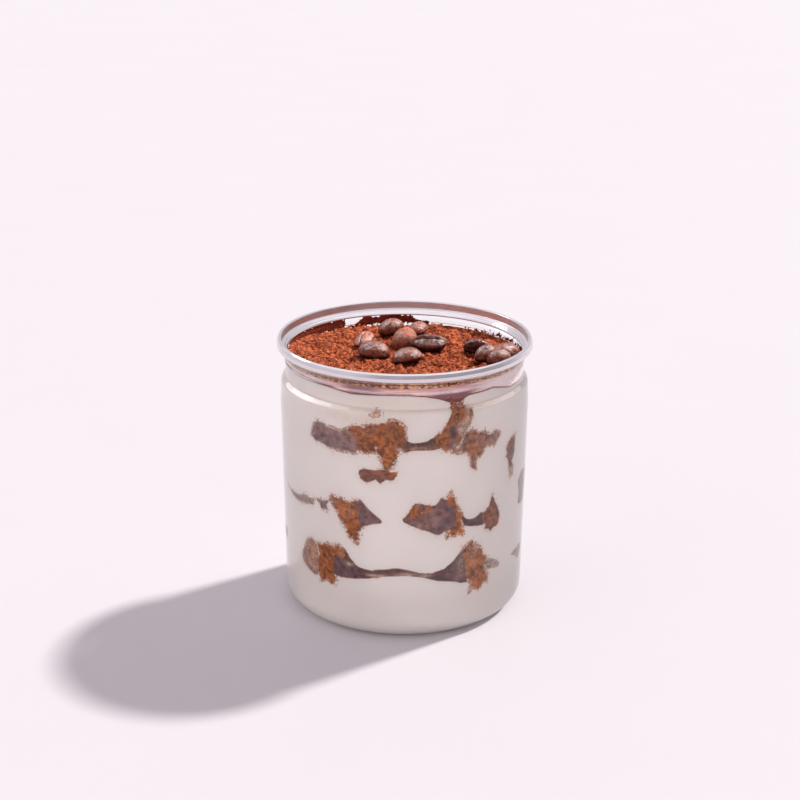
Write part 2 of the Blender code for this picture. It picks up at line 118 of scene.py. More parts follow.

# Sponge layers. A patch where a layer meets the wall is (soaked, dark, filmed, ragged mm, outline):
# soaked goes from mauve to orange-brown, dark mixes in the wet colour, partly as wetness and partly as
# painted shade where the sponge lies in shadow, and filmed is how much cream covers it. A spot is
# (angle, height, half width in degrees, half height, soaked, dark, filmed) and shifts the tone inside.
LAYERS = {
    "sponge_bottom": {
        "middle": 25.0, "half": 4.6, "seed": 3, "hidden_from": 96.0, "first": -56.5,
        "patches": [
            (0.4, 0.1, 0.25, 0.2, [
                (-56.3, 22.6), (-54.5, 26.5), (-51.0, 31.1), (-45.5, 30.9), (-43.0, 24.3), (-44.8, 18.6),
                (-52.3, 19.9)]),
            (0.95, 0.15, 0.0, 0.5, [
                (-43.9, 31.1), (-41.0, 30.2), (-37.7, 31.9), (-34.8, 31.2), (-31.9, 32.3), (-28.5, 31.0),
                (-30.0, 29.0), (-32.0, 27.8), (-32.4, 25.0), (-33.3, 22.8), (-33.0, 20.5), (-34.6, 17.5),
                (-38.0, 18.2), (-42.1, 17.2), (-44.6, 22.2), (-43.2, 26.5)]),
            (0.05, 0.55, 0.0, 0.12, [
                (-35.6, 27.9), (-31.5, 30.6), (-28.5, 31.6), (-24.5, 27.9), (-20.3, 25.7), (-13.4, 25.0),
                (-12.9, 23.2), (-19.6, 21.8), (-31.1, 20.9), (-35.0, 22.4)]),
            (0.0, 0.72, 0.0, 0.08, [
                (-13.9, 25.4), (-8.0, 26.0), (-3.5, 26.7), (2.5, 25.9), (8.7, 24.7), (14.0, 24.6),
                (19.3, 25.4), (18.2, 21.4), (12.5, 22.4), (8.6, 23.3), (2.0, 24.0), (-3.4, 23.9),
                (-9.0, 23.5), (-13.7, 22.7)]),
            (0.0, 0.5, 0.0, 0.12, [
                (19.0, 25.4), (23.7, 28.1), (28.2, 31.4), (29.6, 26.7), (30.6, 19.3), (23.2, 20.6),
                (17.2, 21.8)]),
            (0.78, 0.15, 0.04, 0.5, [
                (27.3, 30.9), (29.0, 32.6), (33.0, 33.9), (35.5, 32.2), (38.2, 30.6), (39.6, 28.0),
                (42.0, 26.6), (41.1, 23.0), (43.2, 20.0), (43.0, 16.8), (40.5, 17.6), (37.8, 15.3),
                (35.0, 16.4), (31.9, 14.6), (33.4, 18.3), (30.4, 20.5), (28.8, 23.8)]),
            (0.1, 0.3, 0.35, 0.15, [
                (41.0, 26.2), (45.5, 24.9), (51.0, 22.6), (50.4, 20.9), (45.2, 21.6), (42.0, 22.0)]),
            (0.1, 0.1, 0.25, 0.2, [
                (62.9, 22.3), (70.0, 22.9), (77.1, 22.7), (76.0, 19.5), (71.9, 18.1), (66.0, 20.6)]),
        ],
        "spots": [
            (-30.5, 29.6, 3.0, 1.6, 1.0, 0.0, 0.1), (-39.0, 29.5, 3.0, 1.2, 0.7, 0.7, 0.0),
            (36.0, 31.5, 3.0, 1.6, 0.1, 0.1, 0.35), (33.0, 27.0, 2.6, 3.5, 0.8, 0.0, 0.2),
            (27.0, 25.5, 2.5, 4.0, 0.1, 0.2, 0.2), (-26.0, 26.5, 2.0, 1.0, 0.2, 0.1, 0.3),
            (2.0, 24.4, 6.0, 0.7, 0.2, 0.2, 0.3), (10.0, 23.7, 3.0, 0.6, 0.1, 0.3, 0.25), (-12.0, 23.6, 6.0, 0.6, 0.3, 0.0, 0.4),
        ],
    },
    "sponge_middle": {
        "middle": 43.8, "half": 4.8, "seed": 8, "hidden_from": 92.0, "first": -71.0,
        "patches": [
            (0.05, 0.2, 0.25, 0.3, [
                (-71.1, 45.8), (-65.0, 45.0), (-58.7, 44.9), (-55.0, 46.0), (-52.1, 46.8), (-48.5, 46.0),
                (-45.4, 46.5), (-46.2, 44.3), (-49.0, 44.0), (-52.4, 43.2), (-59.7, 42.9), (-66.0, 44.3)]),
            (0.05, 0.3, 0.1, 0.3, [
                (-44.0, 46.9), (-40.0, 47.0), (-36.7, 47.8), (-37.6, 45.4), (-36.6, 43.2), (-39.0, 44.2),
                (-40.9, 43.8), (-42.0, 45.4)]),
            (0.72, 0.2, 0.0, 0.45, [
                (-36.2, 48.3), (-34.5, 50.0), (-32.8, 49.3), (-30.5, 49.9), (-27.7, 49.0), (-24.0, 48.6),
                (-21.7, 50.4), (-19.6, 48.5), (-19.4, 44.0), (-19.0, 40.6), (-21.0, 39.0), (-21.0, 36.0),
                (-22.0, 34.2), (-24.0, 36.4), (-25.4, 36.0), (-27.0, 39.5), (-29.2, 41.1), (-31.0, 43.2),
                (-31.6, 45.0), (-34.0, 46.0)]),
            (0.08, 0.3, 0.0, 0.12, [
                (-21.0, 50.2), (-17.3, 48.2), (-13.6, 45.6), (-9.8, 43.2), (-14.0, 42.2), (-19.3, 40.9),
                (-21.8, 41.5)]),
            (0.1, 0.3, 0.0, 0.2, [
                (-0.6, 43.9), (1.8, 46.4), (5.1, 50.0), (9.5, 49.6), (14.5, 49.0), (16.9, 51.4),
                (19.8, 50.4), (23.5, 49.0), (26.0, 44.0), (26.0, 39.0), (23.5, 38.4), (20.4, 39.6),
                (16.0, 38.2), (11.5, 39.6), (8.4, 40.5), (3.6, 42.0)]),
            (0.92, 0.05, 0.0, 0.5, [
                (18.6, 50.0), (19.8, 50.8), (21.3, 53.1), (23.0, 50.4), (25.0, 47.6), (27.0, 44.9),
                (27.2, 41.0), (28.2, 38.6), (28.2, 36.9), (25.6, 38.0), (24.1, 36.9), (21.5, 37.6),
                (19.9, 36.7), (20.2, 39.0), (22.8, 40.4), (22.0, 43.0), (22.6, 46.0), (20.6, 48.4)]),
            (0.05, 0.68, 0.0, 0.1, [
                (27.3, 44.2), (29.4, 42.6), (31.8, 41.9), (35.0, 42.2), (38.4, 43.4), (40.0, 40.0),
                (38.9, 38.8), (33.1, 39.4), (28.4, 40.6)]),
            (0.5, 0.3, 0.0, 0.2, [
                (43.2, 46.0), (44.3, 49.5), (45.4, 47.4), (47.1, 44.9), (48.6, 43.4), (50.3, 39.5),
                (48.5, 36.3), (46.5, 36.6), (44.3, 35.6), (42.0, 36.8), (40.3, 36.8), (40.6, 38.6),
                (38.3, 39.4), (38.1, 42.1), (41.1, 43.8)]),
            (0.15, 0.25, 0.15, 0.2, [
                (67.4, 48.2), (69.6, 49.6), (71.8, 50.8), (78.0, 50.2), (85.3, 50.3), (85.4, 43.2),
                (77.7, 38.7), (69.1, 39.3), (69.0, 44.1)]),
        ],
        "spots": [
            (4.5, 47.4, 5.0, 2.4, 0.85, 0.1, 0.0), (11.0, 48.3, 3.0, 1.0, 0.75, 0.1, 0.0),
            (14.5, 44.5, 4.0, 2.6, 0.0, 0.25, 0.1), (10.0, 42.3, 5.0, 1.4, 0.0, 0.2, 0.1),
            (-27.0, 44.5, 3.0, 3.0, 0.65, 0.0, 0.1), (-23.0, 36.6, 2.6, 2.8, 0.55, 0.5, 0.0), (-34.0, 48.2, 2.0, 1.2, 0.2, 0.4, 0.2),
            (44.5, 41.0, 3.0, 4.0, 0.45, 0.25, 0.0),
        ],
    },
    "sponge_top": {
        "middle": 71.5, "half": 4.8, "seed": 5, "hidden_from": 94.0, "first": -46.2,
        "patches": [
            (0.1, 0.22, 0.1, 0.4, [
                (-46.2, 69.6), (-45.0, 73.0), (-42.3, 75.1), (-38.0, 74.2), (-34.0, 74.2), (-30.5, 73.4),
                (-27.0, 74.6), (-22.9, 75.2), (-20.0, 72.0), (-20.5, 68.6), (-22.5, 66.4), (-25.3, 66.6),
                (-30.0, 66.4), (-35.9, 66.9), (-40.0, 67.9), (-44.2, 67.8)]),
            (0.72, 0.3, 0.0, 0.5, [
                (-27.5, 74.4), (-22.9, 75.9), (-19.0, 76.0), (-15.6, 77.0), (-12.2, 76.8), (-8.0, 77.9),
                (-5.8, 79.2), (-3.5, 78.7), (-1.4, 78.2), (0.2, 76.9), (0.9, 72.0), (0.6, 68.2),
                (-2.1, 70.0), (-3.6, 66.1), (-4.4, 63.4), (-6.0, 62.0), (-9.2, 62.4), (-9.6, 64.2),
                (-10.7, 65.8), (-12.3, 69.5), (-13.3, 67.4), (-17.0, 67.0), (-21.0, 68.0), (-23.0, 71.0)]),
            (0.45, 0.5, 0.0, 0.2, [
                (-20.6, 60.1), (-19.2, 61.2), (-17.2, 61.5), (-13.0, 61.4), (-8.9, 62.0), (-6.5, 61.2),
                (-3.0, 61.2), (-3.6, 59.6), (-5.3, 58.0), (-8.0, 58.3), (-10.7, 56.9), (-12.7, 58.1),
                (-16.3, 56.8), (-19.6, 57.9)]),
            (0.75, 0.1, 0.3, 0.35, [
                (-15.6, 80.0), (-14.0, 80.8), (-12.8, 81.9), (-11.2, 81.4), (-10.6, 80.4), (-12.4, 79.6)]),
            (0.25, 0.9, 0.0, 0.12, [
                (-0.2, 72.4), (2.5, 71.5), (5.0, 71.2), (8.0, 71.3), (10.5, 71.8), (13.6, 73.0),
                (15.9, 73.9), (16.5, 69.6), (13.0, 68.6), (6.0, 68.8), (0.2, 68.4), (-1.2, 70.4)]),
            (0.8, 0.22, 0.0, 0.3, [
                (21.6, 83.9), (24.5, 83.4), (28.2, 83.5), (28.6, 82.4), (29.4, 81.6), (32.0, 80.9), (32.2, 78.4),
                (30.2, 75.6), (27.6, 73.0), (25.6, 70.4), (23.0, 67.9), (18.4, 67.6), (15.6, 69.6),
                (14.1, 71.0), (14.3, 73.2), (17.0, 74.6), (18.6, 76.8), (20.8, 79.0), (22.2, 81.4),
                (21.4, 82.6)]),
            (0.35, 0.12, 0.05, 0.45, [
                (21.5, 67.2), (24.6, 68.4), (26.6, 70.6), (28.4, 73.4), (32.5, 73.9), (35.0, 72.2),
                (38.2, 72.2), (42.0, 70.4), (45.5, 71.2), (48.4, 69.8), (46.4, 68.0), (44.8, 66.3),
                (41.5, 67.2), (38.6, 66.3), (36.4, 63.8), (34.3, 64.0), (33.8, 61.6), (34.0, 59.8),
                (32.4, 60.4), (31.2, 62.0), (31.4, 64.6), (28.1, 66.6), (25.0, 66.2)]),
            (0.4, 0.3, 0.0, 0.35, [
                (53.9, 63.6), (55.4, 65.4), (57.2, 66.3), (59.4, 66.2), (61.7, 67.1), (61.0, 63.6),
                (61.5, 60.7), (59.1, 57.7), (60.4, 55.4), (60.6, 53.0), (58.0, 51.8), (56.8, 54.6),
                (56.3, 57.6), (54.2, 60.3)]),
        ],
        "spots": [
            (-10.5, 71.9, 5.5, 1.7, 1.3, 0.0, 0.0), (-6.5, 66.5, 3.2, 3.4, 1.0, 0.0, 0.0),
            (-5.0, 75.6, 4.0, 2.2, 0.85, 0.3, 0.0), (-17.0, 74.2, 4.0, 1.4, 0.8, 0.3, 0.05),
            (-1.0, 71.4, 2.6, 3.0, 0.5, 0.5, 0.0), (16.6, 71.8, 3.2, 2.0, 1.3, 0.2, 0.0), (6.0, 69.2, 9.0, 0.8, 0.7, 0.1, 0.12),
            (24.0, 83.7, 6.0, 1.4, 0.6, 0.9, 0.0), (25.0, 81.6, 3.0, 1.2, 0.95, 0.0, 0.0), (25.0, 79.5, 3.0, 3.0, 1.1, 0.25, 0.0), (29.5, 78.5, 1.6, 3.0, 0.5, 0.0, 0.45),
            (26.5, 75.0, 3.5, 2.2, 0.35, 0.1, 0.4), (21.8, 74.2, 2.0, 3.0, 0.3, 0.7, 0.0),
            (34.5, 69.0, 5.0, 3.6, 0.55, 0.0, 0.12), (24.0, 69.2, 3.6, 1.6, 0.1, 0.25, 0.2),
            (-38.0, 69.5, 6.0, 2.0, 0.0, 0.3, 0.05), (-33.0, 75.0, 5.0, 1.2, 0.1, 0.0, 0.45),
            (-6.0, 60.4, 5.0, 1.0, 0.9, 0.1, 0.0), (44.0, 68.6, 4.0, 2.0, 0.2, 0.2, 0.2),
        ],
    },
}
WALL_MM = 41.9
SPONGE_COLUMNS, SPONGE_ROWS = 960, 76
SPONGE_RETREAT = 3.6 * MM
RIM_MARGIN = 0.9
SMOOTH_BELOW = 0.25
OPEN_SHARE = 0.7
INNER_R, CORE_R = 36.0 * MM, 30.0 * MM

# Hidden side of each layer: how many patches it shows there, and the limits of each seeded draw
HIDDEN_RUNS, HIDDEN_STATIONS, HIDDEN_MARGIN = 3, 5, 8.0
HIDDEN_START, HIDDEN_WIDTH, HIDDEN_TALL = (0.0, 0.2), (0.5, 0.72), (0.7, 1.3)
HIDDEN_LIFT, HIDDEN_SWELL, HIDDEN_SHIFT, THINNEST_SWELL = (-1.0, 1.5), (0.7, 1.1), (-1.0, 1.0), 0.18

# Height of the powder's edge on the wall, in mm
POWDER_EDGE = [
    (-180, 85.8), (-165, 86.0), (-150, 85.7), (-139, 85.6), (-132, 86.4), (-127, 87.8), (-115, 88.5), (-90, 89.2),
    (-60, 90.1), (-30, 90.5), (0, 90.75), (30, 90.7), (60, 90.2), (85, 89.0), (100, 88.0), (127, 87.0), (155, 87.1),
    (168, 86.9), (174, 86.2),
]
RIM_FALL = 3.2 * MM

# Powder stuck on the wall over the filling: (ragged mm, spread mm, outline)
WALL_DUST = [
    (0.45, 0.3, [
        (-98, 88.4), (-100, 89.6), (-106, 90.3), (-120, 90.0), (-135, 89.8), (-148, 89.7), (-147.6, 88.9), (-147, 87.8), (-145, 87.0),
        (-140.5, 87.0), (-136, 87.5), (-133, 87.2), (-128, 86.8), (-118, 87.0), (-106, 87.6)]),
    (0.5, 0.25, [
        (-150, 87.5), (-153, 87.9), (-156, 88.8), (-159.5, 90.0), (-166, 89.4), (-171, 90.0), (-174.5, 90.3),
        (-180, 89.6), (-184, 89.8), (-186, 88.6), (-192, 87.8), (-192, 86.6), (-185, 87.4), (-181, 87.1),
        (-175, 87.6), (-170, 87.6), (-165, 87.1), (-159.5, 87.0), (-154, 86.3), (-151, 86.2)]),
    (1.5, -0.5, [
        (146, 86.6), (140, 88.2), (130, 88.2), (124, 88.8), (116, 89.2), (102, 89.8), (86, 90.6), (78, 90.2),
        (86, 88.4), (102, 87.6), (116, 87.0), (128, 86.4)]),
    (1.6, -0.75, [(-128, 85.2), (-150, 84.8), (-172, 85.0), (-172, 87.4), (-150, 87.4), (-130, 87.6)]),
]

# Beans: place on the powder, length, width, thickness in mm, roll, pitch, yaw, sunk depth in mm
BEANS = [
    (-4.8, 22.2, 9.6, 7.0, 5.6, 6, -14, 18, 0.4),
    (4.8, 23.0, 9.0, 6.6, 5.0, -8, 0, 62, 0.7),
    (-0.2, 7.4, 10.6, 8.0, 6.6, 14, -16, 55, 0.8),
    (-14.2, 6.4, 9.2, 6.9, 4.8, 168, -15, 72, 0.8),
    (-10.4, -6.4, 11.2, 8.4, 6.4, 4, 3, -12, 1.0),
    (8.4, 2.2, 11.9, 8.0, 6.5, 192, 0, 3, 1.1),
    (0.9, -13.0, 10.6, 7.5, 5.9, -12, -8, 14, 1.1),
    (24.7, -2.2, 9.6, 6.8, 4.6, -72, 0, -8, 1.4),
    (27.5, -9.6, 9.0, 6.2, 6.0, 6, 0, 30, 0.8),
    (31.4, -15.7, 9.0, 6.3, 5.8, 0, 0, 30, 0.5),
    (34.6, -3.4, 9.4, 6.8, 5.0, 0, 8, 24, 1.0),
]
# Their looks: dusted with powder, tan rather than dark, wrinkled, how wide the crease opens
BEAN_LOOKS = [
    (0.25, 0.45, 0.3, 0.075), (0.50, 0.50, 0.3, 0.075), (0.95, 0.45, 0.4, 0.075), (0.20, 1.00, 0.6, 0.16),
    (0.12, 0.42, 0.8, 0.075), (0.05, 0.22, 0.5, 0.42), (0.15, 0.38, 0.3, 0.12), (0.0, 0.0, 0.15, 0.02),
    (0.30, 0.35, 0.5, 0.075), (0.20, 0.30, 0.6, 0.075), (0.30, 0.40, 0.6, 0.075),
]
BEAN_SIDES, BEAN_STEPS = 56, 36
DOME_SHARE, CREASE_SHARE = 0.68, 0.8
BELLY_SPREAD, BELLY_FLAT = 1.6, 4

# Lamps that only shine back from glossy skins: what they fall on, where they stand, strength, degrees across
GLOSS_LAMPS = [
    ("shine", (-0.73, 0.42, 0.52), 0.8, 16.0),
    ("spark", (-0.6, 0.2, 0.9), 22.0, 18.0),
    ("spark", (0.62, 0.2, 0.78), 34.0, 16.0),
    ("glint", (-0.62, 0.42, 0.66), 0.35, 24.0),
    ("glint", (-0.62, 0.42, 0.66), 1.8, 46.0),
    ("glint", (-0.62, 0.42, 0.66), 2.6, 70.0),
    ("glint", (0.62, 0.42, 0.66), 0.2, 22.0),
    ("glint", (0.62, 0.42, 0.66), 0.6, 40.0),
    ("glint", (0.62, 0.42, 0.66), 1.0, 60.0),
]

# Camera
CAMERA_Y, CAMERA_Z = -560.1 * MM, 266.73 * MM
CAMERA_YAW, CAMERA_PITCH, CAMERA_ROLL = -0.157, 19.233, 0.264
LENS_MM, SENSOR_MM = 77.3, 36.0


class JarSettings(bpy.types.PropertyGroup):
    """Wall and finish of the clear jar and its metal ring"""

    wall: FloatProperty(
        name="Wall", description="Thickness of the jar's wall", default=0.7 * MM, unit="LENGTH")
    clear_colour: FloatVectorProperty(
        name="Plastic", description="Colour of the clear plastic", subtype="COLOR", size=3,
        default=(0.985, 0.985, 0.99))
    refraction: FloatProperty(
        name="Refraction", description="Refractive index of the plastic", default=1.46)
    metal_colour: FloatVectorProperty(
        name="Ring", description="Colour of the bare metal", subtype="COLOR", size=3,
        default=(0.80, 0.745, 0.785))
    metal_roughness: FloatProperty(
        name="Ring roughness", description="How dull the rolled metal is", default=0.15, subtype="FACTOR")


class CreamSettings(bpy.types.PropertyGroup):
    """Colours of the cream"""

    colour: FloatVectorProperty(
        name="Cream", description="Colour of the cream", subtype="COLOR", size=3,
        default=(0.76, 0.685, 0.662))
    # Also used for painted shade along the groove and by the shoulder
    stain_colour: FloatVectorProperty(
        name="Stain", description="Colour where coffee has soaked into it", subtype="COLOR", size=3,
        default=(0.62, 0.46, 0.36))
    crumb_colour: FloatVectorProperty(
        name="Loose crumbs", description="Colour of sponge crumbs in it", subtype="COLOR", size=3,
        default=(0.36, 0.12, 0.05))
    softness: FloatProperty(
        name="Softness", description="Share of the light that goes through it", default=0.25,
        subtype="FACTOR")


class SpongeSettings(bpy.types.PropertyGroup):
    """Colours and pores of the soaked sponge"""

    mauve: FloatVectorProperty(
        name="Pressed", description="Colour where it is pressed on the wall", subtype="COLOR", size=3,
        default=(0.205, 0.108, 0.122))
    orange: FloatVectorProperty(
        name="Soaked", description="Colour where coffee shines in it", subtype="COLOR", size=3,
        default=(0.46, 0.115, 0.017))
    crumb_colour: FloatVectorProperty(
        name="Crumbs", description="Colour of the dry crumbs in its soaked parts", subtype="COLOR", size=3,
        default=(0.50, 0.20, 0.065))
    # Also painted as shade where the sponge lies in shadow, through the dark value
    dark: FloatVectorProperty(
        name="Wet", description="Colour of its darkest, wettest parts", subtype="COLOR", size=3,
        default=(0.055, 0.022, 0.022))
    pores: FloatProperty(
        name="Pores", description="Depth of its pores", default=0.12 * MM, unit="LENGTH")


class PowderSettings(bpy.types.PropertyGroup):
    """Colours and lumps of the cocoa powder"""

    colour: FloatVectorProperty(
        name="Cocoa", description="Colour of the dry powder", subtype="COLOR", size=3,
        default=(0.88, 0.245, 0.09))
    # Also painted as shade in the cracks and round the beans' feet
    dark_colour: FloatVectorProperty(
        name="Deep cocoa", description="Colour of its damp and deep parts", subtype="COLOR", size=3,
        default=(0.17, 0.018, 0.012))
    rim_colour: FloatVectorProperty(
        name="Pressed cocoa", description="Colour where it is pressed on the wall", subtype="COLOR",
        size=3, default=(0.80, 0.48, 0.49))
    bruise_colour: FloatVectorProperty(
        name="Wet cocoa", description="Colour where it is wet on the wall", subtype="COLOR", size=3,
        default=(0.16, 0.055, 0.085))
    crumb_colour: FloatVectorProperty(
        name="Crumbs", description="Colour of the dry crumbs at its edge", subtype="COLOR", size=3,
        default=(0.85, 0.49, 0.25))
    lumps: FloatProperty(
        name="Lumps", description="Height of its lumps", default=1.6 * MM, unit="LENGTH")
    clods: IntProperty(name="Clods", description="Number of loose clods", default=2600, min=0)


class BeanSettings(bpy.types.PropertyGroup):
    """Colours and wrinkles of the coffee beans"""

    # Also painted, deeper still, as shade in the crease, in the vein hollows and underneath
    dark_colour: FloatVectorProperty(
        name="Dark roast", description="Colour of the darkest skin", subtype="COLOR", size=3,
        default=(0.09, 0.028, 0.022))
    tan_colour: FloatVectorProperty(
        name="Light roast", description="Colour of the lightest skin", subtype="COLOR", size=3,
        default=(0.58, 0.185, 0.115))
    wrinkles: FloatProperty(
        name="Wrinkles", description="Depth of the wrinkles", default=0.45 * MM, unit="LENGTH")
    roughness: FloatProperty(
        name="Roughness", description="How dull the skin is", default=0.27, subtype="FACTOR")


class StageSettings(bpy.types.PropertyGroup):
    """Floor, sky and lamp"""

    floor_colour: FloatVectorProperty(
        name="Floor", description="Colour of the floor", subtype="COLOR", size=3,
        default=(0.92, 0.90, 0.93))
    sky_colour: FloatVectorProperty(
        name="Sky", description="Colour of the soft light all round", subtype="COLOR", size=3,
        default=(0.60, 0.515, 0.59))
    sky_strength: FloatProperty(
        name="Sky strength", description="Strength of the soft light from above", default=0.72)
    backdrop_strength: FloatProperty(
        name="Backdrop strength", description="Strength of the pale backdrop round the sides", default=0.8)
    room_strength: FloatProperty(
        name="Room strength", description="Strength of the dim room before the cup", default=0.28)
    dark_side: FloatVectorProperty(
        name="Room side", description="Where the dim room lies", size=3, default=(0.6, -0.8, 0.0))
    glint_strength: FloatProperty(
        name="Glint strength", description="Strength of the lamps that only shine back from glossy skins",
        default=1.0)
    fill_strength: FloatProperty(
        name="Fill strength", description="Strength of the soft light on the front", default=1.3)
    lamp_colour: FloatVectorProperty(
        name="Lamp", description="Colour of the lamp", subtype="COLOR", size=3,
        default=(1.0, 0.97, 0.94))
    lamp_strength: FloatProperty(
        name="Lamp strength", description="Strength of the lamp on the cup", default=3.8)
    ground_strength: FloatProperty(
        name="Ground strength", description="Strength of the lamp on the floor", default=2.4)
    lamp_size: FloatProperty(
        name="Lamp size", description="Angle across the lamp", default=math.radians(4.5),
        subtype="ANGLE")
    lamp_turn: FloatProperty(
        name="Lamp turn", description="Where the lamp stands, round from the right",
        default=math.radians(35.7), subtype="ANGLE")
    lamp_height: FloatProperty(
        name="Lamp height", description="How high the lamp stands", default=math.radians(47.3),
        subtype="ANGLE")


class TiramisuSettings(bpy.types.PropertyGroup):
    """All settings of the cup"""

    jar: PointerProperty(type=JarSettings, name="Jar", description="Clear jar and metal ring")
    cream: PointerProperty(type=CreamSettings, name="Cream", description="Cream")
    sponge: PointerProperty(type=SpongeSettings, name="Sponge", description="Soaked sponge")
    powder: PointerProperty(type=PowderSettings, name="Powder", description="Cocoa powder")
    beans: PointerProperty(type=BeanSettings, name="Beans", description="Coffee beans")
    stage: PointerProperty(type=StageSettings, name="Stage", description="Floor and light")


# Outlines and places


def filleted(outline, steps=6):
    """Round each corner of an outline of (radius, height, rounding) and give (radius, height) pairs."""
    points = [outline[0][:2]]
    for before, corner, after in zip(outline, outline[1:], outline[2:]):
        middle = Vector(corner[:2])
        back, on = Vector(before[:2]) - middle, Vector(after[:2]) - middle
        spread = back.angle(on) if corner[2] > 0.0 else math.pi
        if spread > math.radians(179.0):
            points.append(tuple(middle))
            continue
        length = min(corner[2] / math.tan(spread / 2), 0.48 * back.length, 0.48 * on.length)
        radius = length * math.tan(spread / 2)
        towards = (back.normalized() + on.normalized()).normalized()
        centre = middle + towards * radius / math.sin(spread / 2)
        start = middle + back.normalized() * length - centre
        end = middle + on.normalized() * length - centre
        turn = start.angle_signed(end)
        for step in range(steps + 1):
            points.append(tuple(centre + start @ Matrix.Rotation(turn * step / steps, 2)))
    points.append(outline[-1][:2])
    return points


def jar_skin(depth):
    """The jar's skin up to its neck, `depth` inside the outer one."""
    return [
        (0.0, PUNT_RISE + depth, 0.0), (PUNT_R, PUNT_RISE + depth, 2.0 * MM),
        (PUNT_EDGE_R, depth, 1.0 * MM), (BASE_R - depth, depth, CORNER_R - depth),
        (BODY_R - depth, BODY_TOP, 30.0 * MM), (SHOULDER_R - depth, SHOULDER_Z, 1.8 * MM),
        (NECK_R - depth, GROOVE_Z, 0.3 * MM),
    ]


def jar_mouth(depth):
    """The jar's skin from its neck to its top edge."""
    lift = depth * 0.35
    return [
        (NECK_R - depth, FLARE_Z + lift, 2.0 * MM),
        (FLARE_R - 0.25 * MM - depth, JAR_TOP - 0.5 * MM + 0.3 * depth, 0.3 * MM),
        (FLARE_R - depth, JAR_TOP, 0.0),
    ]


def wall_radius(height, wall):
    """Radius of the jar's inner wall at each height."""
    outline = filleted(jar_skin(wall) + jar_mouth(wall))
    start = next(index for index, point in enumerate(outline) if point[0] > BASE_R - CORNER_R)
    radii, heights = zip(*outline[start:])
    return np.interp(height, heights, radii)


def at_angle(degrees, radius, height):
    turn = math.radians(degrees)
    return Vector((radius * math.sin(turn), -radius * math.cos(turn), height))


def around(degrees):
    """The same angle between -180 and 180."""
    return (np.asarray(degrees) + 180.0) % 360.0 - 180.0


def smooth_step(low, high, values):
    share = np.clip((np.asarray(values, float) - low) / (high - low), 0.0, 1.0)
    return share * share * (3.0 - 2.0 * share)


def rough(points, size, octaves=2, seed=0.0):
    """Soft noise between about -1 and 1 at each point, whose grain is `size` metres."""
    shift = Vector((seed * 7.31, seed * 3.17, seed * 5.53))
    return np.array([
        noise.fractal(Vector(point) / size + shift, 1.0, 2.0, octaves, noise_basis="PERLIN_ORIGINAL")
        for point in points])


def cream_edge(degrees):
    """Height of the cream's edge on the wall."""
    angles, heights = zip(*CREAM_EDGE)
    return np.interp(degrees, angles, heights, period=360.0) * MM


def powder_level(x, y):
    """The powder's soft top: a slight slope with slow lumps."""
    lumps = np.sin(290 * x + 1.1) * np.cos(240 * y - 0.4) + 0.6 * np.sin(520 * x + 460 * y)
    return POWDER_LEVEL + POWDER_SLOPE * y + POWDER_BUMP * lumps


def hidden_outlines(layer):
    """Patches for the side that the front view hides, uneven like the front ones, from a seeded draw."""
    draw = random.Random(layer["seed"])
    start = layer["hidden_from"]
    room = (360.0 + layer["first"] - HIDDEN_MARGIN - start) / HIDDEN_RUNS
    outlines = []
    for number in range(HIDDEN_RUNS):
        first = start + room * (number + draw.uniform(*HIDDEN_START))
        width = room * draw.uniform(*HIDDEN_WIDTH)
        tall = layer["half"] * draw.uniform(*HIDDEN_TALL)
        lift = draw.uniform(*HIDDEN_LIFT)
        lows, highs = [], []
        for step in range(HIDDEN_STATIONS):
            share = step / (HIDDEN_STATIONS - 1)
            swell = math.sin(math.pi * (0.1 + 0.8 * share)) * draw.uniform(*HIDDEN_SWELL)
            tallness = tall * max(THINNEST_SWELL, swell)
            height = layer["middle"] + lift + draw.uniform(*HIDDEN_SHIFT)
            lows.append((first + width * share, height - tallness))
            highs.append((first + width * share, height + tallness))
        outlines.append(lows + highs[::-1])
    return outlines


def rounded(outline, steps=3):
    """A closed outline through the same corners, with curved sides."""
    here = np.array(outline)
    before, after, beyond = np.roll(here, 1, 0), np.roll(here, -1, 0), np.roll(here, -2, 0)
    points = []
    for share in np.arange(steps) / steps:
        bend = (2.0 * before - 5.0 * here + 4.0 * after - beyond) * share ** 2
        twist = (3.0 * here - before - 3.0 * after + beyond) * share ** 3
        points.append(here + 0.5 * ((after - before) * share + bend + twist))
    return [tuple(point) for point in np.stack(points, 1).reshape(-1, 2)]


def all_patches(layer):
    """The shown patches and the hidden ones, whose tones are drawn too; smooth ones get curved sides."""
    draw = random.Random(layer["seed"] + 40)
    hidden = [
        (draw.choice((0.1, 0.5, 0.8)), draw.uniform(0.1, 0.4), draw.uniform(0.0, 0.2), 0.35, outline)
        for outline in hidden_outlines(layer)]
    return [(*tones, ragged, rounded(outline) if ragged < SMOOTH_BELOW else outline)
            for *tones, ragged, outline in layer["patches"] + hidden]


def inside_by(degrees, heights, outline):
    """How far each place on the wall lies inside an outline, in mm; negative outside."""
    middle = sum(angle for angle, height in outline) / len(outline)
    per_degree = math.radians(1.0) * WALL_MM
    px, py = around(degrees - middle) * per_degree, np.asarray(heights)
    corners = [((angle - middle) * per_degree, height) for angle, height in outline]
    nearest = np.full(px.shape, 1e9)
    inside = np.zeros(px.shape, bool)
    for (ax, ay), (bx, by) in zip(corners, corners[1:] + corners[:1]):
        dx, dy = bx - ax, by - ay
        share = np.clip(((px - ax) * dx + (py - ay) * dy) / (dx * dx + dy * dy), 0.0, 1.0)
        nearest = np.minimum(nearest, np.hypot(px - ax - share * dx, py - ay - share * dy))
        crosses = ((ay > py) != (by > py)) & (px < dx * (py - ay) / (dy or 1e-9) + ax)
        inside ^= crosses
    return np.where(inside, nearest, -nearest)


# Meshes


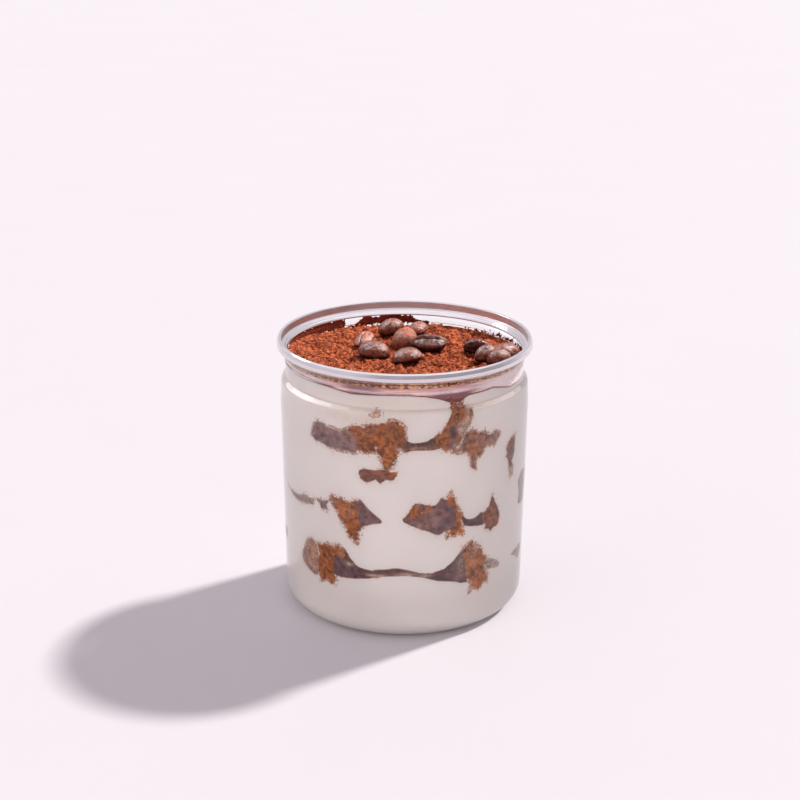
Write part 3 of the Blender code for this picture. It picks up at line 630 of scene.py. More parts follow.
def bent_grid(columns, rows):
    """A flat grid of that many cells, with each point's share of the way across and up."""
    bm = bmesh.new()
    bmesh.ops.create_grid(bm, x_segments=columns, y_segments=rows, size=0.5)
    shares = np.array([vert.co[:2] for vert in bm.verts]) + 0.5
    return bm, shares[:, 0], shares[:, 1]


def place_round(bm, degrees, radii, heights):
    """Put each point of a grid at its angle, radius and height, and merge its seam."""
    turns = np.radians(degrees)
    for vert, x, y, z in zip(bm.verts, radii * np.sin(turns), -radii * np.cos(turns), heights):
        vert.co = (x, y, z)
    bmesh.ops.remove_doubles(bm, verts=bm.verts, dist=SAME_POINT)


def set_values(bm, **values):
    """Keep one number a point under each name, for the materials to read."""
    for name, numbers in values.items():
        layer = bm.verts.layers.float.new(name)
        for vert, number in zip(bm.verts, numbers):
            vert[layer] = float(number)


def spun(outline, sides, closed=True):
    """Spin an outline of (radius, height) pairs round the jar's axis."""
    bm = bmesh.new()
    verts = [bm.verts.new((radius, 0.0, height)) for radius, height in outline]
    edges = [bm.edges.new(pair) for pair in zip(verts, verts[1:])]
    if closed:
        edges.append(bm.edges.new((verts[-1], verts[0])))
    bmesh.ops.spin(bm, geom=verts + edges, cent=(0, 0, 0), axis=(0, 0, 1),
                   angle=math.tau, steps=sides, use_merge=True)
    return bm


def close_inwards(bm, rims):
    """Draw both open edges of a tube in to its axis, by way of (radius, lower, upper) rims."""
    for upper in (False, True):
        loop = [edge for edge in bm.edges if edge.is_boundary]
        loop = [edge for edge in loop if edge in rim_edges(loop, upper)]
        for radius, low, high in rims:
            made = bmesh.ops.extrude_edge_only(bm, edges=loop)["geom"]
            for vert in (part for part in made if isinstance(part, bmesh.types.BMVert)):
                flat = vert.co.xy.normalized() * radius
                vert.co = (*flat, high if upper else low)
            loop = [part for part in made if isinstance(part, bmesh.types.BMEdge)]
        ends = list({vert for edge in loop for vert in edge.verts})
        bmesh.ops.pointmerge(bm, verts=ends, merge_co=(0.0, 0.0, ends[0].co.z))


def rim_edges(loop, upper):
    """Of the open edges of a tube, those of its upper or lower rim."""
    rims, left = [], set(loop)
    while left:
        rim, todo = set(), [left.pop()]
        while todo:
            edge = todo.pop()
            rim.add(edge)
            near = {other for vert in edge.verts for other in vert.link_edges if other in left}
            left -= near
            todo += near
        rims.append(rim)
    rims.sort(key=lambda rim: sum(vert.co.z for edge in rim for vert in edge.verts) / len(rim))
    return rims[-1] if upper else rims[0]


def shared_finish(name, make, *settings):
    """The material of that name, made the first time that it is asked for."""
    return bpy.data.materials.get(name) or make(name, *settings)


def finish_piece(bm, name, finish, slot, *nodes):
    """Make the mesh a piece of the cup: it rides on the body and stands for those nodes."""
    bmesh.ops.remove_doubles(bm, verts=bm.verts, dist=SAME_POINT)
    bmesh.ops.recalc_face_normals(bm, faces=bm.faces)
    mesh = bpy.data.meshes.new(name)
    bm.to_mesh(mesh)
    bm.free()
    if not mesh.polygons:
        raise RuntimeError(f"{name} has no faces")
    mesh.shade_smooth()
    mesh.materials.append(finish)
    piece = bpy.data.objects.new(name, mesh)
    bpy.context.scene.collection.objects.link(piece)
    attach(piece, BODY)
    for light, slots in LIT_SLOTS.items():
        if slot in slots:
            bpy.data.collections[light].objects.link(piece)
    if nodes:
        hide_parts(*nodes)
    return piece


# Materials


def new_material(name):
    made = bpy.data.materials.new(name)
    made.use_nodes = True
    return made, made.node_tree, made.node_tree.nodes["Principled BSDF"]


def add_node(tree, kind, inputs=None, **settings):
    """Add a node with its settings; an input is a number, a colour or the socket that feeds it."""
    node = tree.nodes.new(kind)
    for key, value in settings.items():
        setattr(node, key, value)
    for key, value in (inputs or {}).items():
        if isinstance(value, bpy.types.NodeSocket):
            tree.links.new(value, node.inputs[key])
        else:
            node.inputs[key].default_value = value
    return node


def effect_group(name, inputs, outputs):
    """An empty node group with named float inputs and outputs, and its two end nodes."""
    tree = bpy.data.node_groups.new(name, "ShaderNodeTree")
    tree.interface.new_socket("Vector", in_out="INPUT", socket_type="NodeSocketVector")
    for key, value in inputs.items():
        tree.interface.new_socket(key, in_out="INPUT", socket_type="NodeSocketFloat").default_value = value
    for key in outputs:
        tree.interface.new_socket(key, in_out="OUTPUT", socket_type="NodeSocketFloat")
    return tree, tree.nodes.new("NodeGroupInput"), tree.nodes.new("NodeGroupOutput")


def mottle_group():
    """Soft noise, stretched so that it runs from 0 to 1: slow changes of tone, and height for a bump."""
    if "mottle" in bpy.data.node_groups:
        return bpy.data.node_groups["mottle"]
    tree, start, end = effect_group("mottle", {"Scale": 100.0, "Detail": 3.0, "Low": 0.35, "High": 0.65}, ["Value"])
    texture = add_node(tree, "ShaderNodeTexNoise", {
        "Vector": start.outputs["Vector"], "Scale": start.outputs["Scale"], "Detail": start.outputs["Detail"]})
    ranged = add_node(tree, "ShaderNodeMapRange", {
        "Value": texture.outputs["Fac"], "From Min": start.outputs["Low"], "From Max": start.outputs["High"]})
    tree.links.new(ranged.outputs["Result"], end.inputs["Value"])
    return tree


def grain_group():
    """Separate grains: a mask that is 1 inside each, and a rounded height for a bump."""
    if "grain" in bpy.data.node_groups:
        return bpy.data.node_groups["grain"]
    tree, start, end = effect_group("grain", {"Scale": 1500.0, "Size": 0.3, "Share": 0.5}, ["Mask", "Height"])
    cells = add_node(tree, "ShaderNodeTexVoronoi", {
        "Vector": start.outputs["Vector"], "Scale": start.outputs["Scale"], "Randomness": 1.0}, feature="F1")
    near = add_node(tree, "ShaderNodeMath", {
        0: cells.outputs["Distance"], 1: start.outputs["Size"]}, operation="LESS_THAN")
    shade = add_node(tree, "ShaderNodeSeparateColor", {"Color": cells.outputs["Color"]})
    chosen = add_node(tree, "ShaderNodeMath", {
        0: shade.outputs["Red"], 1: start.outputs["Share"]}, operation="LESS_THAN")
    mask = add_node(tree, "ShaderNodeMath", {0: near.outputs[0], 1: chosen.outputs[0]}, operation="MULTIPLY")
    height = add_node(tree, "ShaderNodeMath", {0: 1.0, 1: cells.outputs["Distance"]}, operation="SUBTRACT")
    tree.links.new(mask.outputs[0], end.inputs["Mask"])
    tree.links.new(height.outputs[0], end.inputs["Height"])
    return tree


def mottle(tree, place, scale, detail=3.0, low=0.35, high=0.65):
    node = add_node(tree, "ShaderNodeGroup", node_tree=mottle_group())
    tree.links.new(place, node.inputs["Vector"])
    for key, value in (("Scale", scale), ("Detail", detail), ("Low", low), ("High", high)):
        node.inputs[key].default_value = value
    return node.outputs["Value"]


def grain(tree, place, scale, size, share):
    node = add_node(tree, "ShaderNodeGroup", node_tree=grain_group())
    for key, value in (("Vector", place), ("Scale", scale), ("Size", size), ("Share", share)):
        if isinstance(value, bpy.types.NodeSocket):
            tree.links.new(value, node.inputs[key])
        else:
            node.inputs[key].default_value = value
    return node.outputs["Mask"], node.outputs["Height"]


def mixed(tree, factor, first, second, blend="MIX"):
    """Mix two colours, each a socket or (red, green, blue)."""
    node = add_node(tree, "ShaderNodeMix", data_type="RGBA", blend_type=blend)
    for socket, value in ((node.inputs[0], factor), (node.inputs[6], first), (node.inputs[7], second)):
        if isinstance(value, bpy.types.NodeSocket):
            tree.links.new(value, socket)
        elif isinstance(value, float):
            socket.default_value = value
        else:
            socket.default_value = (*value[:3], 1.0)
    return node.outputs[2]


def times(tree, first, second, operation="MULTIPLY"):
    return add_node(tree, "ShaderNodeMath", {0: first, 1: second}, operation=operation, use_clamp=True).outputs[0]


def ranged(tree, value, low, high, to_low=0.0, to_high=1.0):
    return add_node(tree, "ShaderNodeMapRange", {
        "Value": value, "From Min": low, "From Max": high, "To Min": to_low, "To Max": to_high}).outputs["Result"]


def value_of(tree, name):
    """A number that the mesh keeps for each point."""
    return add_node(tree, "ShaderNodeAttribute", attribute_name=name).outputs["Fac"]


def place_of(tree):
    return add_node(tree, "ShaderNodeTexCoord").outputs["Object"]


def bumped(tree, shader, heights):
    """Feed the shader's normal from (height, strength, depth in metres) triples, coarse ones first."""
    normal = None
    for height, strength, depth in heights:
        node = add_node(tree, "ShaderNodeBump", {"Height": height, "Strength": strength, "Distance": depth})
        if normal:
            tree.links.new(normal, node.inputs["Normal"])
        normal = node.outputs["Normal"]
    tree.links.new(normal, shader.inputs["Normal"])


def shaded(colour, share):
    return tuple(part * share for part in colour)


def clear_plastic(settings):
    """Clear plastic that lets lamps through to what is behind it."""
    made, tree, shader = new_material("clear_plastic")
    shader.inputs["Base Color"].default_value = (*settings.clear_colour, 1.0)
    shader.inputs["Transmission Weight"].default_value = 1.0
    shader.inputs["Roughness"].default_value = 0.02
    shader.inputs["IOR"].default_value = settings.refraction
    shader.inputs["Specular IOR Level"].default_value = 0.3
    through = add_node(tree, "ShaderNodeBsdfTransparent", {"Color": (*settings.clear_colour, 1.0)})
    path = add_node(tree, "ShaderNodeLightPath")
    both = add_node(tree, "ShaderNodeMixShader", {
        0: path.outputs["Is Shadow Ray"], 1: shader.outputs["BSDF"], 2: through.outputs["BSDF"]})
    tree.links.new(both.outputs["Shader"], tree.nodes["Material Output"].inputs["Surface"])
    return made


def bare_metal(settings):
    """Rolled bare metal: fine lines round the ring and a few duller places."""
    made, tree, shader = new_material("bare_metal")
    place = place_of(tree)
    stretched = add_node(tree, "ShaderNodeMapping", {"Vector": place, "Scale": (1.0, 1.0, 30.0)}).outputs["Vector"]
    lines = mottle(tree, stretched, 160.0, 4.0, 0.3, 0.7)
    clouds = mottle(tree, place, 90.0)
    colour = mixed(tree, lines, shaded(settings.metal_colour, 0.86), settings.metal_colour)
    tree.links.new(colour, shader.inputs["Base Color"])
    dull = ranged(tree, clouds, 0.0, 1.0, settings.metal_roughness - 0.05, settings.metal_roughness + 0.1)
    dull = times(tree, dull, times(tree, value_of(tree, "worn"), 0.2), "ADD")
    tree.links.new(dull, shader.inputs["Roughness"])
    shader.inputs["Metallic"].default_value = 1.0
    bumped(tree, shader, [(lines, 0.15, 0.05 * MM)])
    return made


def soft_cream(settings):
    """Whipped cream: nearly even, with slow warm clouds, coffee stains, faint pits, and painted shade towards the
    bottom and along the groove.
    """
    made, tree, shader = new_material("cream")
    place = place_of(tree)
    clouds = mottle(tree, place, 55.0, 2.0, 0.3, 0.7)
    fine = mottle(tree, place, 700.0, 3.0)
    base = mixed(tree, clouds, settings.colour, shaded(settings.colour, 0.955))
    # Mask of coffee stains, with painted shade along the groove and by the shoulder
    stain = times(tree, value_of(tree, "stain"), ranged(tree, mottle(tree, place, 260.0, 4.0), 0.0, 1.0, 0.55, 1.0))
    # Painted shade: darker towards the bottom
    base = mixed(tree, value_of(tree, "low"), base, shaded(settings.colour, 0.86))
    stained = mixed(tree, stain, base, settings.stain_colour)
    specked = mixed(tree, times(tree, fine, 0.05), stained, shaded(settings.colour, 0.75))
    loose = add_node(tree, "ShaderNodeMath", {
        0: value_of(tree, "crumbs"), 1: ranged(tree, mottle(tree, place, 1700.0, 2.0, 0.3, 0.7), 0.0, 1.0, -1.0, -0.04)},
        operation="ADD").outputs[0]
    specked = mixed(tree, ranged(tree, loose, 0.0, 0.12, 0.0, 0.85), specked, settings.crumb_colour)
    tree.links.new(specked, shader.inputs["Base Color"])
    shader.inputs["Roughness"].default_value = 0.42
    shader.inputs["Specular IOR Level"].default_value = 0.15
    shader.inputs["Subsurface Weight"].default_value = settings.softness
    shader.inputs["Subsurface Radius"].default_value = (1.0, 0.75, 0.6)
    shader.inputs["Subsurface Scale"].default_value = 1.2 * MM
    bumped(tree, shader, [(clouds, 0.12, 0.4 * MM), (fine, 0.08, 0.05 * MM)])
    return made


def soaked_sponge(name, settings, cream):
    """Sponge seen through the wall: mauve where pressed, orange-brown where soaked, with pale crumbs, painted shade in
    its crevices, and a dark colour that is partly wetness and partly painted shade.
    """
    made, tree, shader = new_material(name)
    place = place_of(tree)
    coarse = mottle(tree, place, 480.0, 5.0, 0.34, 0.66)
    fine = mottle(tree, place, 1500.0, 3.0, 0.3, 0.7)
    slow = mottle(tree, place, 150.0, 2.0, 0.35, 0.65)
    # Both tones are darkest where the bump is low: painted shade in the crevices over their own uneven tone
    mauve = mixed(tree, coarse, shaded(settings.mauve, 0.5), shaded(settings.mauve, 1.4))
    orange = mixed(tree, coarse, shaded(settings.orange, 0.22), shaded(settings.orange, 1.15))
    _crumbs, rise = grain(tree, place, 1250.0, 0.4, 0.32)
    crumbs = mottle(tree, place, 1000.0, 6.0, 0.52, 0.64)
    orange = mixed(tree, times(tree, crumbs, 0.75), orange, settings.crumb_colour)
    soak = ranged(tree, add_node(tree, "ShaderNodeMath", {
        0: value_of(tree, "soaked"), 1: times(tree, slow, 0.35)}, operation="ADD").outputs[0], 0.15, 0.9)
    tone = mixed(tree, soak, mauve, orange)
    # The dark value: partly wetness, partly painted shade
    wet = times(tree, value_of(tree, "dark"), ranged(tree, fine, 0.0, 1.0, 0.75, 1.15))
    tone = mixed(tree, wet, tone, settings.dark)
    specks = add_node(tree, "ShaderNodeMath", {
        0: mottle(tree, place, 1300.0, 6.0, 0.3, 0.7), 1: ranged(tree, value_of(tree, "filmed"), 0.0, 0.5, -0.93, -0.35)},
        operation="ADD").outputs[0]
    tone = mixed(tree, ranged(tree, specks, 0.0, 0.2, 0.0, 0.5), tone, shaded(cream.colour, 0.72))
    film = times(tree, value_of(tree, "filmed"), ranged(tree, coarse, 0.0, 1.0, 0.6, 1.3))
    tone = mixed(tree, film, tone, shaded(cream.stain_colour, 1.05))
    eaten = add_node(tree, "ShaderNodeMath", {
        0: value_of(tree, "rim"), 1: ranged(tree, fine, 0.0, 1.0, -0.75, 0.45)}, operation="ADD").outputs[0]
    tone = mixed(tree, ranged(tree, eaten, 0.0, 0.3, 1.0, 0.0), tone, shaded(cream.colour, 0.88))
    tree.links.new(tone, shader.inputs["Base Color"])
    tree.links.new(ranged(tree, soak, 0.0, 1.0, 0.62, 0.4), shader.inputs["Roughness"])
    shader.inputs["Specular IOR Level"].default_value = 0.05
    bumped(tree, shader, [(coarse, 0.6, 0.4 * MM), (rise, 0.4, 0.15 * MM), (fine, 0.35, 0.1 * MM)])
    return made


def dry_cocoa(name, settings):
    """Cocoa powder: fine dry grains over lumps, painted shade in deep red-brown between them and in the cracks, painted
    highlights on the grains, and mauve on the wall with a painted line of light.
    """
    made, tree, shader = new_material(name)
    place = place_of(tree)
    slow = mottle(tree, place, 130.0, 3.0, 0.3, 0.7)
    coarse = mottle(tree, place, 800.0, 4.0, 0.37, 0.63)
    fine = mottle(tree, place, 3000.0, 2.0, 0.3, 0.7)
    light = mixed(tree, slow, settings.colour, shaded(settings.colour, 0.82))
    # Painted shade: darkest where the coarse bump is low, over the powder's own uneven tone
    tone = mixed(tree, ranged(tree, coarse, 0.0, 0.7, 0.85, 0.0), light, settings.dark_colour)
    # Painted highlights on the raised fine grains
    tone = mixed(tree, ranged(tree, fine, 0.45, 1.0, 0.0, 0.45), tone, shaded(settings.colour, 1.1))
    # Painted shade in the cracks and round the beans' feet; on the wall and the clods the dark value is their own
    # darker colour
    tone = mixed(tree, value_of(tree, "dark"), tone, shaded(settings.dark_colour, 0.85))
    streaked = add_node(tree, "ShaderNodeMapping", {"Vector": place, "Scale": (1.0, 1.0, 9.0)}).outputs["Vector"]
    streaks = mottle(tree, streaked, 160.0, 3.0, 0.35, 0.65)
    pressed = mixed(tree, streaks, shaded(settings.rim_colour, 0.62), shaded(settings.rim_colour, 1.15))
    pressed = mixed(tree, value_of(tree, "bruised"), pressed, settings.bruise_colour)
    # Painted highlight: a pale line of light along the jar's ridge, and lighter sides of the band
    pressed = mixed(tree, value_of(tree, "gleam"), pressed, (0.97, 0.88, 0.90))
    tone = mixed(tree, value_of(tree, "pressed"), tone, pressed)
    crumbs = mixed(tree, ranged(tree, coarse, 0.3, 0.7), shaded(settings.colour, 0.24), settings.crumb_colour)
    tone = mixed(tree, value_of(tree, "golden"), tone, crumbs)
    tree.links.new(tone, shader.inputs["Base Color"])
    shader.inputs["Roughness"].default_value = 0.95
    shader.inputs["Specular IOR Level"].default_value = 0.2
    bumped(tree, shader, [(coarse, 0.8, 0.35 * MM), (fine, 0.6, 0.1 * MM)])
    return made


def roasted_skin(settings, powder):
    """Roasted bean skin: veined and oily, with powder in its hollows and on its top, and painted shade in its vein
    hollows, in its crease and underneath.
    """
    made, tree, shader = new_material("roasted_bean")
    place = place_of(tree)
    veins = mottle(tree, place, 700.0, 5.0, 0.36, 0.64)
    fine = mottle(tree, place, 2600.0, 3.0, 0.3, 0.7)
    slow = mottle(tree, place, 200.0, 2.0, 0.3, 0.7)
    skin = mixed(tree, value_of(tree, "tan"), settings.dark_colour, settings.tan_colour)
    skin = mixed(tree, times(tree, veins, 0.3), skin, shaded(settings.tan_colour, 0.8))
    # Painted shade: darker where the veins' bump is low
    skin = mixed(tree, ranged(tree, veins, 0.0, 0.45, 0.6, 0.0), skin, shaded(settings.dark_colour, 0.5))
    # Painted shade in the crease and on the underside
    skin = mixed(tree, value_of(tree, "crease"), skin, shaded(settings.dark_colour, 0.2))
    loose = times(tree, ranged(tree, fine, 0.3, 0.8, 0.3, 1.0), ranged(tree, slow, 0.2, 0.9, 0.4, 1.0))
    shown = ranged(tree, times(tree, value_of(tree, "dusted"), loose), 0.12, 0.5)
    dust = mixed(tree, fine, shaded(powder.dark_colour, 1.6), shaded(powder.colour, 0.85))
    tone = mixed(tree, shown, skin, dust)
    tree.links.new(tone, shader.inputs["Base Color"])
    tree.links.new(ranged(tree, shown, 0.0, 1.0, settings.roughness, 0.92), shader.inputs["Roughness"])
    shader.inputs["Specular IOR Level"].default_value = 0.1
    bumped(tree, shader, [(veins, 1.0, 0.16 * MM), (fine, 0.9, 0.07 * MM)])
    return made


def stage_floor(settings):
    """Smooth pale floor with a faint unevenness."""
    made, tree, shader = new_material("stage_floor")
    clouds = mottle(tree, place_of(tree), 14.0, 2.0, 0.2, 0.8)
    colour = mixed(tree, clouds, shaded(settings.floor_colour, 0.985), settings.floor_colour)
    tree.links.new(colour, shader.inputs["Base Color"])
    shader.inputs["Roughness"].default_value = 0.6
    shader.inputs["Specular IOR Level"].default_value = 0.2
    return made


# Pieces


def cup_settings(context):
    return context.scene.tiramisu_cup


def layer_tones(layer, degrees, heights, spread):
    """How far each wall place is inside the layer's patches, and its soaked, dark and filmed values."""
    points = np.stack([
        WALL_MM * np.sin(np.radians(degrees)), -WALL_MM * np.cos(np.radians(degrees)), heights], 1)
    seed = layer["seed"]
    coarse, fine, finest = rough(points, 3.2, 2, seed), rough(points, 1.3, 2, seed + 1), rough(points, 0.6, 1, seed + 2)
    inside = np.full(degrees.shape, -1e9)
    tones = np.zeros((4, degrees.size))
    for soaked, dark, filmed, ragged, outline in all_patches(layer):
        by = inside_by(degrees, heights, outline) + ragged * (0.9 * coarse + 1.0 * fine + 0.9 * finest)
        nearer = by > inside
        inside = np.where(nearer, by, inside)
        film = np.clip(filmed + (1.0 - filmed) * (1.0 - smooth_step(0.0, spread + filmed, by)) * 0.25, 0.0, 1.0)
        rim = 0.35 + by / (0.3 + 1.3 * ragged) if ragged > 0.15 else 1.0 + 0.0 * by
        for row, value in enumerate((soaked, dark, film, rim)):
            tones[row] = np.where(nearer, value, tones[row])
    for angle, height, half_angle, half_height, *values in layer["spots"]:
        away = (around(degrees - angle) / half_angle) ** 2 + ((heights - height) / half_height) ** 2
        weight = np.exp(-away - 0.5 * coarse)
        weight = np.clip(weight, 0.0, 1.0)
        for row, value in enumerate(values):
            tones[row] += (value - tones[row]) * weight
    return inside, tones


def rim_limits(layer, angles):
    """Lowest and highest height of the layer's rim at each angle, in mm."""
    heights = np.arange(layer["middle"] - 16.0, layer["middle"] + 18.0, 0.5)
    grid_angles, grid_heights = np.meshgrid(angles, heights, indexing="ij")
    best = np.full(grid_angles.size, -1e9)
    for *_, outline in all_patches(layer):
        best = np.maximum(best, inside_by(grid_angles.ravel(), grid_heights.ravel(), outline))
    near = best.reshape(grid_angles.shape) > -RIM_MARGIN
    half = OPEN_SHARE * layer["half"]
    shown = near.any(1)
    low = np.where(shown, np.where(near, grid_heights, 1e9).min(1), layer["middle"] - half)
    high = np.where(shown, np.where(near, grid_heights, -1e9).max(1), layer["middle"] + half)
    reach = 3
    low = np.min([np.roll(low, shift) for shift in range(-reach, reach + 1)], 0)
    high = np.max([np.roll(high, shift) for shift in range(-reach, reach + 1)], 0)
    window = range(-reach, reach + 1)
    low = np.mean([np.roll(low, shift) for shift in window], 0)
    high = np.mean([np.roll(high, shift) for shift in window], 0)
    return low, high


def make_sponge(name, settings):
    """A sponge layer: its rim reaches into the wall where it shows and draws back elsewhere."""
    layer = LAYERS[name]
    bm, across, up = bent_grid(SPONGE_COLUMNS, SPONGE_ROWS)
    degrees = across * 360.0 - 180.0
    angles = np.linspace(-180.0, 180.0, SPONGE_COLUMNS, endpoint=False)
    low, high = rim_limits(layer, angles)
    lows = np.interp(degrees, angles, low, period=360.0)
    highs = np.interp(degrees, angles, high, period=360.0)
    heights = lows + (highs - lows) * up
    inside, (soaked, dark, filmed, rim) = layer_tones(layer, degrees, heights, 0.3)
    wall = wall_radius(heights * MM, settings.jar.wall)
    points = np.stack([WALL_MM * np.sin(np.radians(degrees)), -WALL_MM * np.cos(np.radians(degrees)), heights], 1)
    pits = smooth_step(0.3, 0.6, rough(points, 0.7, 2, layer["seed"] + 3)) * (1.0 - 0.6 * dark)
    radii = wall + SPONGE_REACH - settings.sponge.pores * pits * smooth_step(0.0, 0.6, inside)
    radii -= SPONGE_RETREAT * smooth_step(0.0, 1.3, -inside)
    set_values(bm, soaked=soaked, dark=dark, filmed=filmed, rim=np.clip(rim, 0.0, 1.5))
    place_round(bm, degrees, radii, heights * MM)
    middle, half = layer["middle"] * MM, layer["half"] * MM
    close_inwards(bm, [(INNER_R, middle - half, middle + half), (CORE_R * 0.3, middle - half, middle + half)])
    finish = shared_finish("sponge_crumb", soaked_sponge, settings.sponge, settings.cream)
    return finish_piece(bm, name + "_crumb", finish, "soaked_sponge", name)


class TIRAMISU_OT_add_stage(bpy.types.Operator):
    """Add the floor, the lamp, the sky and the camera"""

    bl_idname = "tiramisu.add_stage"
    bl_label = "Stage"

    def execute(self, context):
        settings = cup_settings(context).stage
        bm = bmesh.new()
        bmesh.ops.create_grid(bm, x_segments=1, y_segments=1, size=6.0)
        bmesh.ops.translate(bm, vec=(0.0, 0.0, -0.03 * MM), verts=bm.verts)
        mesh = bpy.data.meshes.new("floor")
        bm.to_mesh(mesh)
        bm.free()
        floor = bpy.data.objects.new("floor", mesh)
        context.scene.collection.objects.link(floor)
        mesh.materials.append(stage_floor(settings))
        self.add_sky(context, settings)
        for light in LIT_SLOTS:
            bpy.data.collections.new(light)
        bpy.data.collections["ground"].objects.link(floor)
        turn, height = settings.lamp_turn, settings.lamp_height
        towards = Vector((math.cos(turn), math.sin(turn), math.tan(height)))
        for light, strength in (("lamp", settings.lamp_strength), ("ground", settings.ground_strength)):
            lamp = self.add_lamp(context, light, towards, strength, settings.lamp_size)
            lamp.data.color = settings.lamp_colour
        fill = self.add_lamp(context, "fill", Vector((-0.05, -1.0, 0.125)), settings.fill_strength, math.radians(12.0))
        fill.visible_glossy = False
        for light, towards, strength, degrees in GLOSS_LAMPS:
            gloss = self.add_lamp(
                context, light, Vector(towards), strength * settings.glint_strength, math.radians(degrees))
            gloss.visible_diffuse = False
        self.add_camera(context)
        return {"FINISHED"}

    def add_sky(self, context, settings):
        world = bpy.data.worlds.new("sky")
        world.use_nodes = True
        context.scene.world = world
        tree = world.node_tree
        background = tree.nodes["Background"]
        place = add_node(tree, "ShaderNodeTexCoord").outputs["Generated"]
        parts = add_node(tree, "ShaderNodeSeparateXYZ", {"Vector": place}).outputs
        height = ranged(tree, parts["Z"], 0.42, 0.7)
        ahead = add_node(tree, "ShaderNodeVectorMath", {0: place, 1: settings.dark_side}, operation="DOT_PRODUCT")
        dark = ranged(tree, ahead.outputs["Value"], 0.1, 0.55)
        shines = add_node(tree, "ShaderNodeLightPath").outputs["Is Glossy Ray"]
        room = ranged(tree, shines, 0.0, 1.0, settings.room_strength, 1.6 * settings.room_strength)
        low = add_node(tree, "ShaderNodeMix", {
            0: dark, 2: settings.backdrop_strength, 3: room}, data_type="FLOAT").outputs[0]
        scaled = add_node(tree, "ShaderNodeMix", {
            0: height, 2: low, 3: settings.sky_strength}, data_type="FLOAT").outputs[0]
        path = add_node(tree, "ShaderNodeLightPath").outputs["Is Camera Ray"]
        tint = mixed(tree, height, (0.97, 0.95, 0.97), settings.sky_colour)
        gloss = times(tree, shines, height)
        tint = mixed(tree, gloss, tint, (1.0, 0.97, 1.0))
        scaled = add_node(tree, "ShaderNodeMix", {0: gloss, 2: scaled, 3: 1.2}, data_type="FLOAT").outputs[0]
        strength = add_node(tree, "ShaderNodeMix", {0: path, 2: scaled, 3: 1.0}, data_type="FLOAT").outputs[0]
        colour = mixed(tree, path, tint, (1.0, 0.99, 1.0))
        tree.links.new(colour, background.inputs["Color"])
        tree.links.new(strength, background.inputs["Strength"])

    def add_lamp(self, context, name, towards, strength, size):
        lamp = bpy.data.lights.new(name, "SUN")
        lamp.energy = strength
        lamp.angle = size
        thing = bpy.data.objects.new(name, lamp)
        thing.rotation_euler = towards.to_track_quat("Z", "Y").to_euler()
        thing.light_linking.receiver_collection = bpy.data.collections[name]
        thing.visible_transmission = False
        context.scene.collection.objects.link(thing)
        return thing

    def add_camera(self, context):
        camera = bpy.data.cameras.new("camera")
        camera.lens = LENS_MM
        camera.sensor_width = SENSOR_MM
        camera.clip_start = 0.01
        thing = bpy.data.objects.new("camera", camera)
        yaw, pitch, roll = (math.radians(angle) for angle in (CAMERA_YAW, CAMERA_PITCH, CAMERA_ROLL))
        turn = Matrix.Rotation(-yaw, 3, "Z") @ Matrix.Rotation(math.pi / 2 - pitch, 3, "X") @ Matrix.Rotation(roll, 3, "Z")
        thing.matrix_world = Matrix.Translation((0.0, CAMERA_Y, CAMERA_Z)) @ turn.to_4x4()
        context.scene.collection.objects.link(thing)
        context.scene.camera = thing


class TIRAMISU_OT_add_jar(bpy.types.Operator):
    """Add the clear jar"""

    bl_idname = "tiramisu.add_jar"
    bl_label = "Jar"

    def execute(self, context):
        settings = cup_settings(context).jar
        ridge = [
            (NECK_R, RIDGE_Z - 0.45 * MM, 0.2 * MM), (NECK_R + RIDGE_RISE, RIDGE_Z, 0.15 * MM),
            (NECK_R, RIDGE_Z + 0.35 * MM, 0.2 * MM)]
        outer = filleted(jar_skin(0.0) + ridge + jar_mouth(0.0), 8)
        inner = filleted(jar_skin(settings.wall) + jar_mouth(settings.wall), 8)
        bm = spun(outer + inner[::-1], JAR_SIDES, closed=False)
        finish_piece(bm, "jar_shell", clear_plastic(settings), "clear_plastic", "jar")
        return {"FINISHED"}


class TIRAMISU_OT_add_ring(bpy.types.Operator):
    """Add the rolled metal ring with its torn lip"""

    bl_idname = "tiramisu.add_ring"
    bl_label = "Seam ring"

    def execute(self, context):
        settings = cup_settings(context).jar
        bm = spun(filleted(RING_OUTLINE + RING_OUTLINE[:1], 5)[:-1], JAR_SIDES)
        set_values(bm, worn=[
            vert.co.xy.length < 42.3 * MM and 92.15 * MM < vert.co.z < 94.6 * MM for vert in bm.verts])
        finish_piece(bm, "seam_ring", bare_metal(settings), "bare_metal", "rim_ring")
        return {"FINISHED"}


